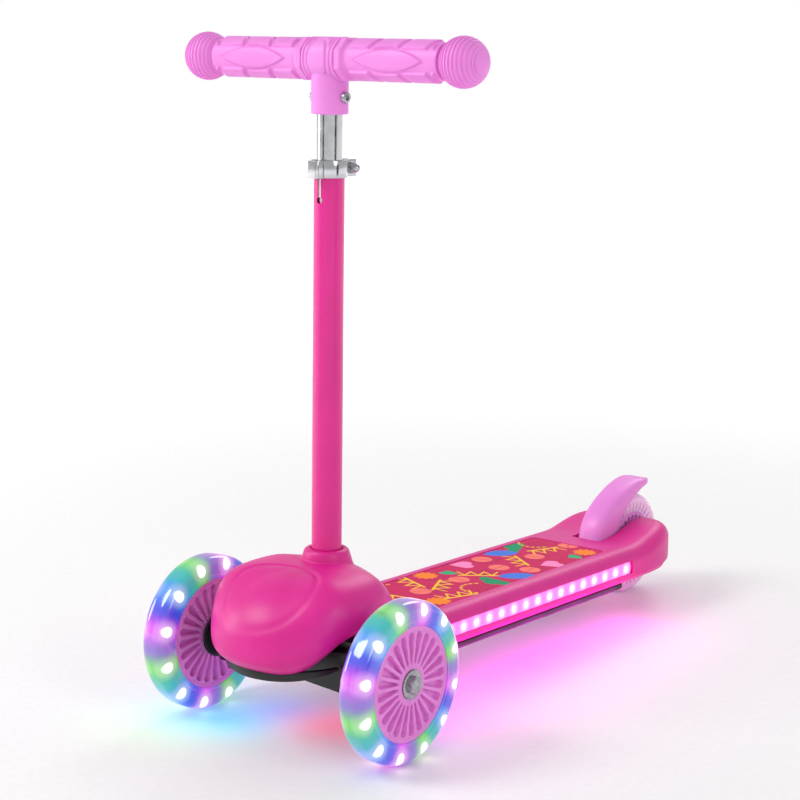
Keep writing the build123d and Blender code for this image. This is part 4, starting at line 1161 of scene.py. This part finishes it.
def makeFloor():
    # pale matt floor: painted board with a very faint roller texture, and a painted pool of light under each
    # lamp, mixed into the floor's colour and glow: strength * e^-(dx^2 + dy^2), with dx and dy in reaches
    angle = np.linspace(0, 2 * pi, 96, endpoint=False)[:, None]
    radius = np.array([0, 0.5, 1.5, 4, studio["floorRadius"]])[None] / mm
    grid = np.stack([radius * np.cos(angle), radius * np.sin(angle), 0 * radius * angle - 0.3], -1)
    floor = addPiece("studioFloor", [(grid, True, False)])
    m = Surface("white matt paint, rolled, with painted light pools")
    colour = m.ramp(m.noise(6, 2), ((0.3, "#F6F5F6"), (0.7, "#F9F9F9")))
    lit = 0.0
    # each pool is painted light: its colour is mixed into the floor's paint and its share is added to the
    # floor's glow
    for (x, y), (reachX, reachY), shade, strength in paintedLightPools:
        off = m.value("ShaderNodeVectorMath", 0, {0: m.place, 1: (-x * mm, -y * mm, 0)}, operation="ADD")
        scaled = m.value("ShaderNodeVectorMath", 0, {0: off, 1: (1 / (reachX * mm), 1 / (reachY * mm), 0)},
                         operation="MULTIPLY")
        far = m.value("ShaderNodeVectorMath", "Value", {0: scaled, 1: scaled}, operation="DOT_PRODUCT")
        share = (far * -1.0).step("EXPONENT") * strength
        colour = m.mix(share, colour, shade)
        lit = share + lit
    away = m.value("ShaderNodeVectorMath", "Value", {0: m.place}, operation="LENGTH")
    # painted glow: the floor grows brighter away from the scooter and fades into the white backdrop
    paintedFadeGlow = away.span(0.45, 2.6, 0.0, 0.7, "SMOOTHSTEP")
    m.give(Base_Color=colour, Emission_Color=colour, Emission_Strength=paintedFadeGlow + lit * studio["paintedPoolGlow"],
           Roughness=0.55, Specular_IOR_Level=0.3)
    floor.data.materials.append(m.material)
    low = min(polygon.normal.z for polygon in floor.data.polygons)
    if low < 0:
        floor.data.flip_normals()


def makeFlags():
    # black cards beside the scooter, seen only as dark streaks in polished metal and gloss
    cardBlack = mouldedPlastic("black card, matt", "#060606", "#040404", 0.8, 3.0, 0.02)
    for number, (azimuth, halfWidth) in enumerate(((84, 0.16), (-14, 0.12))):
        out = Vector((np.sin(radians(azimuth)), -np.cos(radians(azimuth)), 0)) * 1300
        across = Vector((np.cos(radians(azimuth)), np.sin(radians(azimuth)), 0)) * halfWidth * 1000
        grid = np.array([[out + across * u + Vector((0, 0, z)) for z in (20, 620)] for u in (-1, 1)])
        card = addPiece(f"blackCard_{number}", [(grid, False, False)])
        card.data.materials.append(cardBlack)
        card.visible_camera = card.visible_diffuse = card.visible_shadow = False


# disk lamps: place, target, size, energy
diskLights = {
    "keyLight": ((-1.5, -1.9, 2.3), (0, 0, 0.2), 1.3, 36),
    "stripLight": ((-1.9, -1.1, 0.7), (0, 0, 0.25), 0.8, 9),
    "sideLight": ((2.4, -0.6, 1.2), (0, 0, 0.2), 1.0, 8),
    "rearLight": ((-0.6, 2.2, 1.8), (0, 0, 0.2), 1.2, 12),
}
# small coloured lamps in a row beside the deck, for the light that its lens throws on the floor
spill = dict(count=6, x=0.055, start=0.09, pitch=0.055, height=0.02, energy=0.08, colour="#F020D8", size=0.03)


def addLight(name, kind, place, energy, colour="#FFFFFF"):
    lamp = addObject(name, bpy.data.lights.new(name, kind))
    lamp.data.energy = energy
    lamp.data.color = toLinear(colour)[:3]
    lamp.location = place
    return lamp


def lookAlong(item, direction):
    item.rotation_mode = "QUATERNION"
    item.rotation_quaternion = direction.to_track_quat("-Z", "Y")


def makeStudio():
    world = bpy.data.worlds.new("paleRoom")
    world.use_nodes = True
    tree = world.node_tree
    background = tree.nodes["Background"]
    seen = addNode(tree, "ShaderNodeLightPath").outputs["Is Camera Ray"]
    strength = addNode(tree, "ShaderNodeMapRange", {"Value": seen, 3: studio["world"], 4: 1.0})
    putInto(tree, background.inputs["Color"], (1, 1, 1, 1))
    putInto(tree, background.inputs["Strength"], strength.outputs[0])
    bpy.context.scene.world = world
    bpy.context.scene.view_settings.view_transform = "Standard"    # finishes show in their own colours
    for name, (place, target, size, energy) in diskLights.items():
        lamp = addLight(name, "AREA", place, energy)
        lamp.data.shape = "DISK"
        lamp.data.size = size
        lookAlong(lamp, Vector(target) - Vector(place))
    for number in range(spill["count"]):
        y = axleY * mm + spill["start"] + number * spill["pitch"]
        lamp = addLight(f"spillPink_{number}", "POINT", (spill["x"], y, spill["height"]), spill["energy"],
                        spill["colour"])
        lamp.data.shadow_soft_size = spill["size"]


def makeCamera():
    azimuth, elevation = radians(studio["azimuth"]), radians(studio["elevation"])
    level = np.cos(elevation)
    back = Vector((np.sin(azimuth) * level, -np.cos(azimuth) * level, np.sin(elevation)))
    camera = addObject("studioCamera", bpy.data.cameras.new("studioCamera"))
    camera.data.lens = studio["lens"]
    camera.data.sensor_width = 36
    camera.location = studio["camera"]
    lookAlong(camera, -back)
    bpy.context.scene.camera = camera


makeFloor()
makeFlags()
makeStudio()
makeCamera()
print("studio ready")
